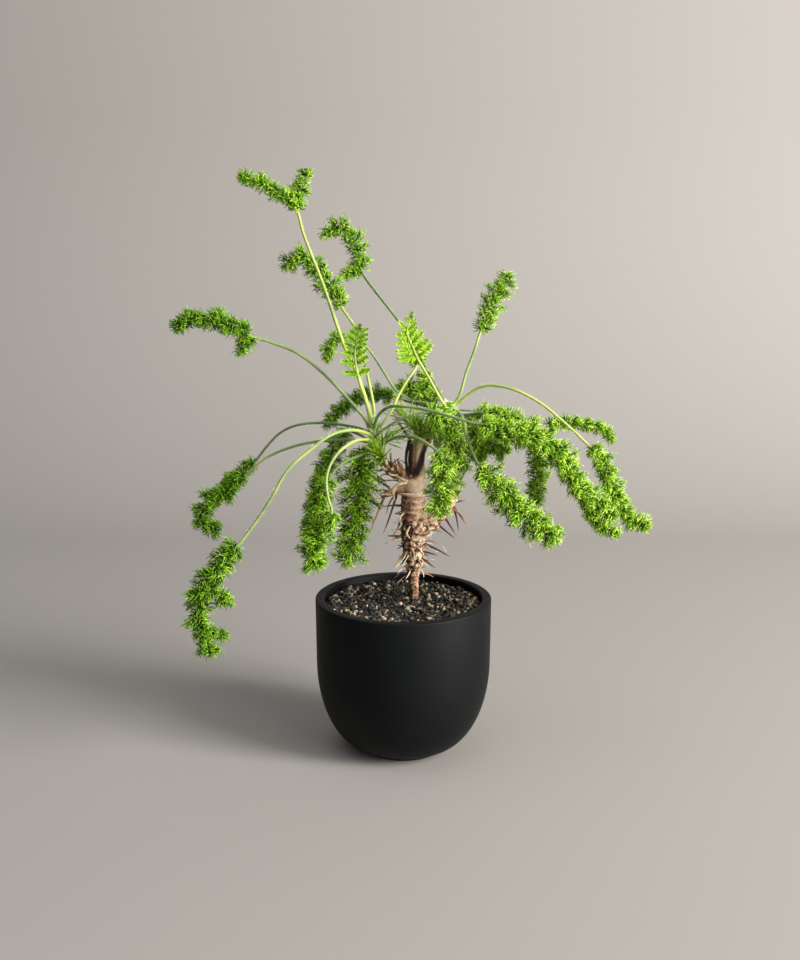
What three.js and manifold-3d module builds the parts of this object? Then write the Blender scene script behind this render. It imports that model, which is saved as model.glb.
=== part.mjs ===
// A potted pelargonium with finely cut, feathery leaves, in millimetres, +Z up.
// The origin is the centre of the flat base of the pot.

import * as THREE from 'three';
import { mergeVertices } from 'three/addons/utils/BufferGeometryUtils.js';
import Module from 'manifold-3d';

const wasm = await Module();
wasm.setup();

// Pot: a round pot with a thick rim, nearly straight walls and a big rounded bottom.
const POT_RIM_RADIUS = 52.5;
const POT_HEIGHT = 94;
const POT_WALL = 5.4;
const POT_ROUND_TOP = 55;
const POT_ROUND_RADIUS = 52.2;
const POT_ROUND_CENTRE = 24;
const POT_FOOT_RADIUS = 25.5;
const POT_FOOT_HEIGHT = 2;
const POT_FLOOR = 8;
const POT_RIM_EDGE = 0.9;
const POT_SIDES = 36;
const POT_ROUND_STEPS = 7;
const POT_INSIDE_STEPS = 3;
const DRAIN_HOLES = 3;
const DRAIN_RADIUS = 4;
const DRAIN_CIRCLE = 14;
const DRAIN_SIDES = 12;

// Soil: loose grit that fills the pot to a little under its rim.
const SOIL_TOP = 89;
const SOIL_BUMP = 0.9;
const SOIL_RINGS = 6;
const SOIL_WAVES = [[0.83, 0.31], [-0.42, 0.97], [1.7, 1.7]];
const GAP = 0.3;

// Stem: where it stands in the soil, and how deep.
const STEM_FOOT = [7, 9];
const STEM_DEPTH = 22;
const STEM_FOOT_RADIUS = 2.2;
const STEM_SIDES = 10;
const BRANCH_SIDES = 8;
const TWIG_SIDES = 6;
const SNAG_SIDES = 5;
const TRUNK_STEP = 5;
const BRANCH_STEP = 6;
const TWIG_STEP = 7;
const BARK_LUMP = 0.05;
const HOLE_CLEAR = 0.9;

// Each limb is a list of [x, y, z, radius] along its middle.
const TRUNK = [
  [7, 9, 68, 2.0], [7, 9, 88, 2.2], [6, 8, 102, 3.2], [6, 8, 108, 4.2], [6, 7, 114, 6.2],
  [6, 6, 122, 6.4], [6, 5, 130, 7.2], [6, 4, 139, 6.9], [6, 3, 147, 7.3], [6, 3, 155, 6.9],
  [6, 3, 162, 7.2], [5, 3, 167, 6.0],
];
const LEFT_BRANCH = [[5, 3, 161, 5.2], [-1, 1, 167, 4.4], [-7, 0, 171, 3.7], [-11, 0, 174, 3.2]];
const MIDDLE_BRANCH = [
  [7, 4, 162, 6.2], [7, 5, 173, 5.4], [8, 6, 181, 5.0], [11, 7, 187, 4.6], [16, 8, 194, 4.4],
  [20, 8, 199, 4.3],
];
const SIDE_BRANCH = [
  [8, 4, 130, 5.0], [17, 7, 137, 4.4], [22, 9, 142, 3.8], [27, 11, 148, 3.5], [30, 12, 152, 3.2],
];
const DEAD_TWIG = [[3, 2, 160, 3.4], [-6, -1, 158, 2.4], [-13, -3, 156, 1.5]];
const SNAGS = [[[4, 5, 170, 3.2], [3, 4, 179, 2.3], [4, 4, 188, 1.2]], [[9, 6, 174, 3.6], [11, 4, 186, 1.3]]];

// Dry leaf stalks: [root, tip] pairs that hang from the twig, the trunk and the side branch.
const DRY_STALKS = [
  [[-10, -2, 158], [-20, -8, 134]], [[-4, 0, 156], [-12, -9, 134]], [[0, 1, 149], [-12, -5, 150]],
  [[1, 1, 143], [-6, -9, 133]], [[1, 4, 131], [-11, -4, 127]], [[2, 5, 129], [-10, 4, 130]],
  [[3, 5, 123], [-6, -5, 113]], [[-8, 0, 160], [-15, 2, 164]], [[29, 11, 148], [40, 9, 133]],
  [[27, 10, 147], [37, 5, 140]], [[29, 11, 149], [33, 6, 132]], [[24, 9, 142], [32, 3, 130]],
  [[19, 7, 138], [31, 5, 128]], [[29, 11, 149], [38, 11, 150]], [[10, 4, 126], [28, 0, 118]],
  [[9, 4, 121], [22, 2, 118]], [[9, 4, 118], [19, -3, 112]], [[10, 1, 150], [16, -7, 143]],
  [[6, 8, 150], [8, 20, 144]], [[2, 8, 140], [-4, 19, 133]], [[10, 8, 135], [16, 19, 128]],
];
const STALK_RADIUS = 0.75;
const THORN_COUNT = 34;
const THORN_LOW = 110;
const THORN_HIGH = 150;
const THORN_REACH = [10.5, 15.5];
const THORN_SLOPE = [-0.45, 0.35];
const THORN_RADIUS = 0.9;
const THORN_DEPTH = 3;
const SPINE_SAG = 0.06;
const SPINE_TAPER = 0.78;
const SPINE_SIDES = 3;
const GOLDEN_ANGLE = 2.39996;
const LIMBS = [TRUNK, LEFT_BRANCH, MIDDLE_BRANCH, SIDE_BRANCH, DEAD_TWIG, ...SNAGS];

// The room left round a limb for what stands on it.
const ROOM_STEP = 2;
const ROOM_FAT = 1.07;
const ROOM_SIDES = 12;

// Growing tips: one on each branch, each ends in a dome.
const SHOOTS = {
  shoot_left: [
    [-11, 0, 174, 3.2], [-15, -1, 182, 3.5], [-17, -2, 191, 3.7], [-18, -3, 199, 3.3], [-18, -3, 203, 1.9],
  ],
  shoot_top: [[20, 8, 199, 4.3], [24, 8, 203, 4.8], [27, 8, 207, 4.4], [28, 8, 210, 2.6]],
  shoot_side: [[30, 12, 152, 3.2], [31, 12, 155, 3.3], [32, 13, 159, 2.9], [32, 13, 162, 1.7]],
};
const SHOOT_SIDES = 9;
const SHOOT_STEP = 4;
const SHOOT_LUMP = 0.03;
const STIPULES = 9;
const STIPULE_LENGTH = 3;
const STIPULE_LEAN = 0.9;

// Leaves. line holds the way points of the middle of the leaf, from inside its growing tip outwards.
// blade is the way point where the bare stalk ends and the feathery blade begins.
// reach is the half width of the blade, stalk the radius of the stalk, face the way the upper side looks.
// forks are further stretches of blade that start on the first one.
const UP = [0, -0.3, 1];
const FRONT = [0, -1, 0.2];
const LEAVES = {
  leaf_tall: {
    line: [[-18, -3, 198], [-19, -3, 203], [-27, -5, 229], [-33, -6, 242], [-45, -9, 278], [-55, -12, 305],
      [-59, -13, 319], [-65, -14, 325], [-76, -16, 331], [-87, -18, 335]],
    blade: 6, reach: 5.3, stalk: 1.5, face: UP,
    forks: [{ line: [[-58, -13, 317], [-58, -12, 324], [-56, -10, 331], [-53, -8, 340]], reach: 4.8 }],
  },
  leaf_hook: {
    line: [[26, 8, 205], [22, 12, 213], [12, 22, 231], [-2, 34, 254], [-26, 45, 286], [-27, 46, 296],
      [-31, 46, 306], [-39, 45, 311], [-47, 42, 306]],
    blade: 4, reach: 6.8, stalk: 0.95, face: FRONT,
    forks: [{ line: [[-25, 45, 284], [-31, 44, 284], [-37, 42, 282]], reach: 4 }],
  },
  leaf_upright: {
    line: [[-18, -2, 198], [-17, 1, 204], [-21, 5, 226], [-28, 12, 252], [-36, 16, 264], [-43, 20, 277],
      [-51, 22, 287], [-62, 24, 293], [-69, 24, 288]],
    blade: 4, reach: 7.2, stalk: 1.1, face: FRONT,
  },
  leaf_front_small: {
    line: [[-18, -4, 196], [-19, -9, 202], [-22, -14, 215], [-25, -18, 226], [-27, -22, 241],
      [-24, -26, 254]],
    blade: 3, reach: 6.5, stalk: 1, face: FRONT,
  },
  leaf_left: {
    line: [[-18, -3, 195], [-23, -6, 203], [-32, -9, 214], [-46, -11, 229], [-60, -12, 240],
      [-75, -12, 246], [-87, -13, 250], [-93, -13, 254], [-103, -13, 257], [-117, -13, 259],
      [-127, -12, 255]],
    blade: 6, reach: 7.8, stalk: 1.1, face: UP,
    forks: [{ line: [[-84, -13, 249], [-88, -12, 245], [-92, -12, 240]], reach: 5 }],
  },
  leaf_low_left: {
    line: [[-17, -3, 190], [-21, -10, 194], [-29, -18, 197], [-40, -28, 196], [-51, -36, 189],
      [-63, -42, 179], [-72, -46, 164], [-82, -48, 149], [-91, -50, 138], [-98, -50, 132], [-102, -51, 123],
      [-110, -51, 116], [-113, -51, 106], [-112, -52, 93], [-108, -52, 78]],
    blade: 8, reach: 8, stalk: 1.2, face: FRONT,
    forks: [
      { line: [[-113, -51, 96], [-107, -50, 89], [-99, -49, 86]], reach: 4.5 },
      { line: [[-108, -51, 116], [-102, -50, 110], [-96, -49, 105]], reach: 5 },
    ],
  },
  leaf_mid_left: {
    line: [[-17, -2, 186], [-23, -1, 188], [-38, 4, 188], [-53, 8, 186], [-65, 10, 183], [-81, 12, 176],
      [-95, 12, 165], [-104, 12, 157], [-114, 11, 150], [-121, 10, 141], [-119, 10, 134], [-112, 10, 134]],
    blade: 6, reach: 8, stalk: 1.1, face: UP,
  },
  leaf_back_left: {
    line: [[-17, -1, 190], [-21, 4, 193], [-30, 9, 195], [-47, 17, 196], [-63, 23, 194], [-74, 26, 189],
      [-83, 27, 180], [-91, 28, 170], [-101, 28, 162], [-111, 27, 153], [-117, 26, 144]],
    blade: 7, reach: 6, stalk: 1, face: UP,
  },
  leaf_pale: {
    line: [[26, 6, 205], [21, 1, 213], [15, -2, 224], [8, -4, 236], [5, -5, 243], [2, -6, 251], [4, -6, 259]],
    blade: 3, reach: 9, stalk: 1.1, face: FRONT,
  },
  leaf_hanging_front: {
    line: [[-17, -3, 187], [-20, -10, 190], [-27, -18, 191], [-36, -26, 186], [-41, -30, 179],
      [-43, -32, 171], [-42, -33, 161], [-40, -34, 153], [-43, -34, 146], [-48, -34, 140], [-52, -34, 132],
      [-50, -33, 122]],
    blade: 7, reach: 7.5, stalk: 1.2, face: FRONT,
  },
  leaf_hanging_middle: {
    line: [[-15, -2, 182], [-20, -7, 183], [-25, -10, 181], [-32, -15, 179], [-39, -19, 174],
      [-42, -20, 169], [-47, -20, 157], [-51, -19, 143], [-52, -18, 129], [-49, -17, 119]],
    blade: 5, reach: 7, stalk: 0.9, face: FRONT,
  },
  leaf_hanging_back: {
    line: [[-16, -1, 185], [-21, 4, 188], [-27, 8, 191], [-33, 10, 192], [-40, 9, 183], [-47, 6, 168],
      [-53, 4, 150], [-56, 3, 132]],
    blade: 3, reach: 6.5, stalk: 1, face: FRONT,
  },
  leaf_broad: {
    line: [[-15, -1, 181], [-20, 0, 185], [-24, 0, 183], [-25, -2, 173], [-25, -4, 160], [-27, -6, 146],
      [-30, -7, 131], [-34, -7, 117]],
    blade: 2, reach: 11, stalk: 1, face: FRONT,
  },
  leaf_back_dark: {
    line: [[27, 9, 204], [23, 16, 205], [13, 26, 205], [-1, 34, 208], [-7, 36, 210], [-18, 38, 211],
      [-29, 38, 208], [-39, 37, 201], [-47, 36, 192]],
    blade: 4, reach: 5.5, stalk: 0.9, face: FRONT,
  },
  leaf_back_short: {
    line: [[27, 9, 206], [23, 15, 209], [20, 18, 210], [13, 20, 211], [5, 22, 216], [-2, 23, 217]],
    blade: 2, reach: 8, stalk: 0.9, face: FRONT,
    forks: [{ line: [[12, 20, 211], [12, 19, 219], [13, 18, 226]], reach: 4.5 }],
  },
  leaf_back_small: {
    line: [[26, 8, 203], [20, 11, 206], [16, 13, 208], [5, 16, 210], [-4, 18, 215], [-12, 18, 227],
      [-20, 18, 239], [-27, 17, 245], [-34, 14, 247], [-41, 11, 245], [-44, 9, 240], [-44, 8, 234]],
    blade: 8, reach: 4, stalk: 0.8, face: FRONT,
  },
  leaf_crossing: {
    line: [[-17, -2, 193], [-12, -4, 199], [-9, -3, 203], [-6, 0, 207], [-4, 3, 212], [2, 9, 222],
      [8, 14, 231], [7, 17, 239], [2, 19, 248]],
    blade: 6, reach: 6, stalk: 0.95, face: FRONT,
  },
  leaf_top_right: {
    line: [[28, 9, 206], [33, 12, 213], [37, 16, 226], [42, 19, 239], [46, 22, 251], [52, 24, 264],
      [56, 25, 274], [62, 26, 281]],
    blade: 4, reach: 7.3, stalk: 1, face: FRONT,
  },
  leaf_arch: {
    line: [[27, 8, 205], [34, 6, 211], [41, 4, 217], [48, 2, 220], [55, 0, 220], [64, -2, 218],
      [78, -4, 211], [93, -6, 199], [108, -6, 185], [112, -6, 181], [117, -7, 171], [121, -8, 160],
      [127, -8, 150], [134, -8, 141], [141, -8, 139]],
    blade: 8, reach: 7.6, stalk: 1.1, face: UP,
  },
  leaf_back_right: {
    line: [[26, 9, 203], [33, 14, 204], [46, 20, 202], [58, 26, 197], [74, 32, 193], [89, 36, 193],
      [102, 38, 193], [110, 39, 192], [119, 40, 190], [125, 40, 188], [129, 40, 182]],
    blade: 5, reach: 5, stalk: 0.7, face: UP,
  },
  leaf_long_right: {
    line: [[-17, -3, 195], [-16, -9, 200], [-14, -12, 205], [-8, -17, 210], [0, -22, 211], [17, -30, 209],
      [33, -36, 205], [42, -38, 203], [59, -40, 198], [69, -40, 197], [77, -40, 194], [89, -38, 180],
      [96, -37, 169], [106, -35, 159], [116, -34, 150]],
    blade: 7, reach: 10, stalk: 1.2, face: UP,
    forks: [{ line: [[98, -37, 166], [103, -35, 154], [110, -34, 145], [119, -34, 141]], reach: 5 }],
  },
  leaf_inner_right: {
    line: [[-17, -3, 189], [-14, -9, 194], [-9, -12, 198], [-1, -14, 203], [4, -16, 205], [10, -17, 207],
      [14, -17, 207], [21, -14, 203], [27, -10, 195], [31, -7, 184], [32, -5, 173]],
    blade: 6, reach: 10, stalk: 1, face: FRONT,
  },
  leaf_front_hanging: {
    line: [[-15, -2, 182], [-12, -9, 187], [-7, -13, 191], [-3, -17, 193], [1, -21, 194], [7, -26, 194],
      [12, -30, 192], [19, -34, 187], [22, -35, 178], [22, -34, 166], [19, -32, 153]],
    blade: 7, reach: 9.5, stalk: 1, face: FRONT,
  },
  leaf_low_right: {
    line: [[26, 7, 204], [30, -2, 206], [34, -14, 202], [35, -27, 194], [38, -33, 187], [42, -36, 179],
      [48, -38, 172], [55, -39, 165], [62, -40, 156], [70, -40, 150], [78, -40, 144], [84, -40, 139]],
    blade: 5, reach: 10, stalk: 1.1, face: FRONT,
  },
  leaf_under_right: {
    line: [[27, 7, 202], [36, 3, 203], [49, -9, 205], [66, -16, 200], [75, -20, 189], [77, -20, 176],
      [76, -20, 166], [75, -20, 156]],
    blade: 2, reach: 7.2, stalk: 0.9, face: FRONT,
  },
  leaf_inner_top: {
    line: [[27, 8, 202], [34, 7, 201], [41, 7, 202], [48, 6, 203], [59, 5, 200]],
    blade: 2, reach: 6, stalk: 0.9, face: UP,
    forks: [{ line: [[36, 6, 200], [41, -1, 192], [45, -6, 180]], reach: 6 }],
  },
  leaf_side: {
    line: [[31, 13, 158], [35, 8, 165], [40, 4, 177], [46, 0, 184], [52, -4, 187], [59, -7, 184]],
    blade: 2, reach: 9, stalk: 0.8, face: FRONT,
  },
};

// The stalk and the rib that carries the blade. The rib has a short foot for each pair of leaflets.
const STALK_STEP = 13;
const STALK_SIDES = 4;
const BLADE_STEP = 7.6;
const RIB_RADIUS = 0.75;
const TIP_RADIUS = 0.4;
const FORK_BARE = 0.05;

// Leaflets: how far they lean forwards and out of the plane of the blade, and how their length varies.
const LEAFLET_RADIUS = 0.45;
const LEAFLET_FOOT = 1.5;
const LEAFLET_WAIST = 0.68;
const LEAFLET_FORWARD = 0.5;
const LEAFLET_TILT = 0.34;
const TILT_SPREAD = 0.12;
const LEAFLET_REACH = 1.15;
const LENGTH_SPREAD = [0.88, 1.1];
const FIRST_LEAFLET = 0.7;
const LEAFLET_GROWTH = 1.5;
const TIP_SHORTENING = 0.45;
const SHORTEST_LEAFLET = 2.4;

// Filaments: the fine points on leaflets, ribs and tufts.
const FILAMENT_LENGTH = 4.8;
const FILAMENT_SHARE = 0.62;
const RIB_FILAMENT_SHARE = 0.75;
const END_FILAMENT_SHARE = 0.6;
const FILAMENT_OUTWARD = 0.9;
const FILAMENT_LEAN = 0.8;
const RIB_LEAN = 0.35;
const SHORTEST = 1.2;

// What has been placed is kept as fat lines, and what grows later keeps these clearances from them.
const PLACED_STEP = 6;
const FILAMENT_CLEAR = 0.75;
const LEAFLET_CLEAR = 0.18;
const FILAMENT_RADIUS = 0.3;
const SHORTEN = 0.8;
const OUTER_PARTS = [0.45, 0.6, 0.75, 0.9, 1];

// Young leaves: small tufts of filaments, one on the middle branch and one folded fan under the left shoot.
const TUFTS = {
  tuft_middle: { root: [10, 1, 187], tip: [10.5, -3, 193], rays: 12, length: 11, radius: 2.6 },
  tuft_left: { root: [-12, -2, 175], tip: [-13.5, -6, 180], rays: 12, length: 9, radius: 2 },
};
const TUFT_SIDES = 6;
const TUFT_PLACES = [0, 0.4, 0.75, 1];
const TUFT_SWELL = [0.5, 0.6, 1, 0.6];

// Colours and finish of each kind of piece.
const FINISHES = {
  pot: { color: '#161719', roughness: 0.62, metalness: 0 },
  soil: { color: '#4b443b', roughness: 0.95, metalness: 0 },
  stem: { color: '#7a553f', roughness: 0.85, metalness: 0 },
  shoot: { color: '#8fb35a', roughness: 0.7, metalness: 0 },
  leaf: { color: '#5c9e27', roughness: 0.6, metalness: 0 },
};

let seed = 71;

// A repeatable random number from low to high.
function random(low, high) {
  seed = (seed * 1664525 + 1013904223) % 4294967296;
  return low + (high - low) * (seed / 4294967296);
}

const LIMB_FACE = new THREE.Vector3(0, -1, 0.01);
const SPINE_FACE = new THREE.Vector3(0.1, 0.2, 1);

function vector(values) {
  return new THREE.Vector3(values[0], values[1], values[2]);
}

// Turns a closed three.js geometry into a solid that can be joined and cut.
function solid(geometry) {
  const bare = geometry.index ? geometry.clone() : geometry;
  bare.deleteAttribute('normal');
  bare.deleteAttribute('uv');
  const merged = mergeVertices(bare, 1e-4);
  const mesh = new wasm.Mesh({
    numProp: 3,
    vertProperties: new Float32Array(merged.attributes.position.array),
    triVerts: new Uint32Array(merged.index.array),
  });
  return new wasm.Manifold(mesh);
}

// The geometry of the largest body of a solid; loose scraps are dropped.
function geometryOf(body) {
  const bodies = body.decompose().sort((a, b) => b.volume() - a.volume());
  const mesh = bodies[0].getMesh();
  const geometry = new THREE.BufferGeometry();
  geometry.setAttribute('position', new THREE.BufferAttribute(mesh.vertProperties, 3));
  geometry.setIndex(new THREE.BufferAttribute(mesh.triVerts, 1));
  return geometry;
}

// A closed skin of triangles that can be grown outwards from any of its faces.
class Skin {
  constructor() {
    this.points = [];
    this.faces = [];
  }

  add(point) {
    this.points.push(point);
    return this.points.length - 1;
  }

  corners(face) {
    return this.faces[face].map((index) => this.points[index]);
  }

  middle(face) {
    const [a, b, c] = this.corners(face);
    return new THREE.Vector3().add(a).add(b).add(c).divideScalar(3);
  }

  normal(face) {
    const [a, b, c] = this.corners(face);
    return new THREE.Triangle(a, b, c).getNormal(new THREE.Vector3());
  }

  // Pulls one face out to a point.
  raise(face, tip) {
    const [a, b, c] = this.faces[face];
    const top = this.add(tip);
    this.faces[face] = [a, b, top];
    this.faces.push([b, c, top], [c, a, top]);
  }

  // The two triangles of a side a-b-e-d, split along the diagonal that bulges outwards.
  side(a, b, e, d) {
    const [pa, pb, pe, pd] = [a, b, e, d].map((index) => this.points[index]);
    const normal = new THREE.Triangle(pa, pb, pe).getNormal(new THREE.Vector3());
    const ridge = normal.dot(new THREE.Vector3().subVectors(pd, pa)) <= 0;
    return ridge ? [[a, b, e], [a, e, d]] : [[a, b, d], [b, e, d]];
  }

  // Pulls one face out into a three-sided stub with a new end face, and returns its six side faces.
  extrude(face, ring) {
    const [a, b, c] = this.faces[face];
    const [d, e, f] = ring.map((point) => this.add(point));
    const first = this.faces.length;
    this.faces.push(...this.side(a, b, e, d), ...this.side(b, c, f, e), ...this.side(c, a, d, f));
    this.faces[face] = [d, e, f];
    return [0, 1, 2, 3, 4, 5].map((step) => first + step);
  }

  geometry() {
    const geometry = new THREE.BufferGeometry();
    const numbers = this.points.flatMap((point) => point.toArray());
    geometry.setAttribute('position', new THREE.Float32BufferAttribute(numbers, 3));
    geometry.setIndex(this.faces.flat());
    return geometry;
  }
}

// A closed tube through stations, each with a middle, a side way, an up way and a radius.
// Returns the skin and the face numbers of each stretch: faces[stretch][side] is a pair of triangles.
function tube(stations, sides, turn) {
  const skin = new Skin();
  const rings = stations.map((station) => {
    const ring = [];
    for (let side = 0; side < sides; side += 1) {
      const angle = turn + (side / sides) * 2 * Math.PI;
      const point = station.middle.clone();
      point.addScaledVector(station.across, Math.cos(angle) * station.radius);
      point.addScaledVector(station.up, Math.sin(angle) * station.radius);
      ring.push(skin.add(point));
    }
    return ring;
  });
  const faces = [];
  for (let row = 0; row + 1 < rings.length; row += 1) {
    const stretch = [];
    for (let side = 0; side < sides; side += 1) {
      const next = (side + 1) % sides;
      const [a, b] = [rings[row][side], rings[row][next]];
      const [c, d] = [rings[row + 1][side], rings[row + 1][next]];
      skin.faces.push([a, b, c], [b, d, c]);
      stretch.push([skin.faces.length - 2, skin.faces.length - 1]);
    }
    faces.push(stretch);
  }
  const caps = [];
  for (let side = 1; side + 1 < sides; side += 1) {
    skin.faces.push([rings[0][0], rings[0][side + 1], rings[0][side]]);
    const last = rings[rings.length - 1];
    skin.faces.push([last[0], last[side], last[side + 1]]);
    caps.push(skin.faces.length - 1);
  }
  return { skin, faces, caps };
}

// Stations along a curve at the given arc positions, with frames carried along without twist.
function stationsAlong(curve, places, radiusAt, face) {
  const up = face.clone();
  return places.map((place) => {
    const along = curve.getTangentAt(place);
    up.addScaledVector(along, -up.dot(along)).normalize();
    const station = {
      middle: curve.getPointAt(place),
      along,
      up: up.clone(),
      across: new THREE.Vector3().crossVectors(up, along),
      radius: radiusAt(place),
    };
    return station;
  });
}

// Everything that has been placed so far, as fat lines, so that what grows later keeps clear of it.
const placedLines = [];

function place(from, to, radius) {
  const middle = from.clone().add(to).multiplyScalar(0.5);
  placedLines.push({ line: new THREE.Line3(from, to), middle, half: from.distanceTo(to) / 2, radius });
}

// How long a filament from root may be, up to wanted, so that its outer part stays clear.
// The answer is 0 where it has no room.
function roomFor(root, direction, wanted, clear) {
  const reach = wanted + clear;
  const near = placedLines.filter((item) => item.middle.distanceTo(root) < item.half + item.radius + reach);
  const sample = new THREE.Vector3();
  const closest = new THREE.Vector3();
  for (let length = wanted; length >= SHORTEST; length *= SHORTEN) {
    const free = OUTER_PARTS.every((part) => {
      sample.copy(root).addScaledVector(direction, length * part);
      return near.every((item) => {
        item.line.closestPointToPoint(sample, true, closest);
        return closest.distanceTo(sample) > item.radius + clear;
      });
    });
    if (free) {
      return length;
    }
  }
  return 0;
}

// Pulls a filament out of one face, if it has room.
function growFilament(skin, face, lean, wanted) {
  const root = skin.middle(face);
  const direction = skin.normal(face).multiplyScalar(FILAMENT_OUTWARD);
  direction.addScaledVector(lean, FILAMENT_LEAN).normalize();
  const length = roomFor(root, direction, wanted, FILAMENT_CLEAR);
  if (length > 0) {
    const tip = root.clone().addScaledVector(direction, length);
    skin.raise(face, tip);
    place(root, tip, FILAMENT_RADIUS);
  }
}

// A small triangle across an axis, turned to match the corners that it is joined to.
function ringAround(middle, axis, radius, corners) {
  const across = new THREE.Vector3().subVectors(corners[0], corners[1]);
  across.addScaledVector(axis, -across.dot(axis)).normalize();
  const up = new THREE.Vector3().crossVectors(axis, across);
  const centre = new THREE.Vector3().add(corners[0]).add(corners[1]).add(corners[2]).divideScalar(3);
  const third = (2 * Math.PI) / 3;
  let sine = 0;
  let cosine = 0;
  corners.forEach((corner, step) => {
    const offset = new THREE.Vector3().subVectors(corner, centre);
    const angle = Math.atan2(offset.dot(up), offset.dot(across)) - step * third;
    sine += Math.sin(angle);
    cosine += Math.cos(angle);
  });
  const start = Math.atan2(sine, cosine);
  return corners.map((corner, step) => {
    const angle = start + step * third;
    const point = middle.clone().addScaledVector(across, Math.cos(angle) * radius);
    return point.addScaledVector(up, Math.sin(angle) * radius);
  });
}

// Grows one leaflet out of a face of the rib: a thin stalk with filaments all round it.
function growLeaflet(skin, face, direction, wanted) {
  const root = skin.middle(face);
  const length = roomFor(root, direction, wanted, wanted * LEAFLET_CLEAR);
  if (length < SHORTEST_LEAFLET) {
    return;
  }
  const far = root.clone().addScaledVector(direction, length * LEAFLET_WAIST);
  const tip = root.clone().addScaledVector(direction, length);
  const sides = skin.extrude(face, ringAround(far, direction, LEAFLET_RADIUS, skin.corners(face)));
  skin.raise(face, tip);
  place(root, tip, LEAFLET_RADIUS);
  const filament = Math.min(FILAMENT_LENGTH, length * FILAMENT_SHARE);
  for (const side of sides) {
    growFilament(skin, side, direction, filament * random(...LENGTH_SPREAD));
  }
}

// The arc position of way point number index on a curve.
function arcPosition(curve, index) {
  const fine = 20;
  const lengths = curve.getLengths((curve.points.length - 1) * fine);
  return lengths[index * fine] / lengths[lengths.length - 1];
}

// How long the leaflets are along the blade: shorter at its start and towards its tip.
function leafletShare(part) {
  return Math.min(1, FIRST_LEAFLET + part * LEAFLET_GROWTH) * (1 - TIP_SHORTENING * part * part);
}

// A stretch of leaf: bare stalk up to bladeAt, then a rib with leaflets on both sides.
function stretch(curve, bladeAt, reach, stalk, face) {
  const length = curve.getLength();
  const stalkSteps = Math.ceil((length * bladeAt) / STALK_STEP);
  const bladeSteps = Math.max(2, Math.round((length * (1 - bladeAt)) / BLADE_STEP));
  const places = [];
  for (let step = 0; step < stalkSteps; step += 1) {
    places.push((bladeAt * step) / stalkSteps);
  }
  for (let step = 0; step < bladeSteps; step += 1) {
    const start = bladeAt + ((1 - bladeAt) * step) / bladeSteps;
    places.push(start, start + LEAFLET_FOOT / length);
  }
  places.push(1);
  const rib = Math.min(stalk, RIB_RADIUS);
  const radiusAt = (where) => {
    if (where < bladeAt) {
      return THREE.MathUtils.lerp(stalk, rib, where / bladeAt);
    }
    return THREE.MathUtils.lerp(rib, TIP_RADIUS, (where - bladeAt) / (1 - bladeAt));
  };
  const stations = stationsAlong(curve, places, radiusAt, face);
  const { skin, faces, caps } = tube(stations, STALK_SIDES, Math.PI / STALK_SIDES);
  for (let step = 0; step < bladeSteps; step += 1) {
    const short = stalkSteps + 2 * step;
    const station = stations[short];
    const part = step / bladeSteps;
    const wanted = reach * leafletShare(part) * LEAFLET_REACH;
    const tilt = (step % 2 === 0 ? 1 : -1) * LEAFLET_TILT;
    const [, left, , right] = faces[short];
    const [top, , under] = faces[short + 1];
    for (const [pair, way, lift] of [[right, 1, tilt], [left, -1, -tilt]]) {
      const direction = station.across.clone().multiplyScalar(way);
      direction.addScaledVector(station.along, LEAFLET_FORWARD);
      direction.addScaledVector(station.up, lift + random(-TILT_SPREAD, TILT_SPREAD)).normalize();
      growLeaflet(skin, pair[step % 2], direction, wanted * random(...LENGTH_SPREAD));
    }
    const lean = station.along.clone().multiplyScalar(RIB_LEAN);
    growFilament(skin, top[step % 2], lean, wanted * RIB_FILAMENT_SHARE);
    growFilament(skin, under[step % 2], lean, wanted * RIB_FILAMENT_SHARE);
  }
  const last = stations[stations.length - 1];
  growFilament(skin, caps[0], last.along, reach * END_FILAMENT_SHARE);
  return solid(skin.geometry());
}

function curveThrough(points) {
  return new THREE.CatmullRomCurve3(points.map(vector), false, 'centripetal');
}

// Notes the middle line of a curve among the placed lines, with one radius up to change and another past it.
function placeCurve(curve, change, before, after) {
  const steps = Math.ceil(curve.getLength() / PLACED_STEP);
  for (let step = 0; step < steps; step += 1) {
    const start = step / steps;
    const end = (step + 1) / steps;
    place(curve.getPointAt(start), curve.getPointAt(end), start < change ? before : after);
  }
}

// The radius at a place between the known [place, radius] pairs.
function radiusBetween(known, where) {
  const after = Math.max(1, known.findIndex(([position]) => position >= where - 1e-6));
  const [low, high] = [known[after - 1], known[after]];
  return THREE.MathUtils.lerp(low[1], high[1], (where - low[0]) / (high[0] - low[0]));
}

// A limb of wood or shoot: a lumpy tube through points with their own radii.
function limb(points, sides, stepLength, lump) {
  const curve = curveThrough(points);
  const steps = Math.ceil(curve.getLength() / stepLength);
  const places = [];
  for (let step = 0; step <= steps; step += 1) {
    places.push(step / steps);
  }
  const known = points.map((point, index) => [arcPosition(curve, index), point[3]]);
  const radiusAt = (where) => radiusBetween(known, where) * random(1 - lump, 1 + lump);
  const { skin, faces } = tube(stationsAlong(curve, places, radiusAt, LIMB_FACE), sides, 0);
  placeCurve(curve, 1, Math.max(...points.map((point) => point[3])), 0);
  return { skin, faces, curve };
}

// A dry spine: a slim three-sided cone from root to tip that sags a little.
function spine(root, tip, radius, places) {
  const middle = root.clone().lerp(tip, 0.5);
  middle.z += root.distanceTo(tip) * SPINE_SAG;
  const curve = new THREE.CatmullRomCurve3([root, middle, tip], false, 'centripetal');
  const stations = stationsAlong(curve, places, (where) => radius * (1 - SPINE_TAPER * where), SPINE_FACE);
  place(root, tip, radius);
  return solid(tube(stations, SPINE_SIDES, 0).skin.geometry());
}

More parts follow.
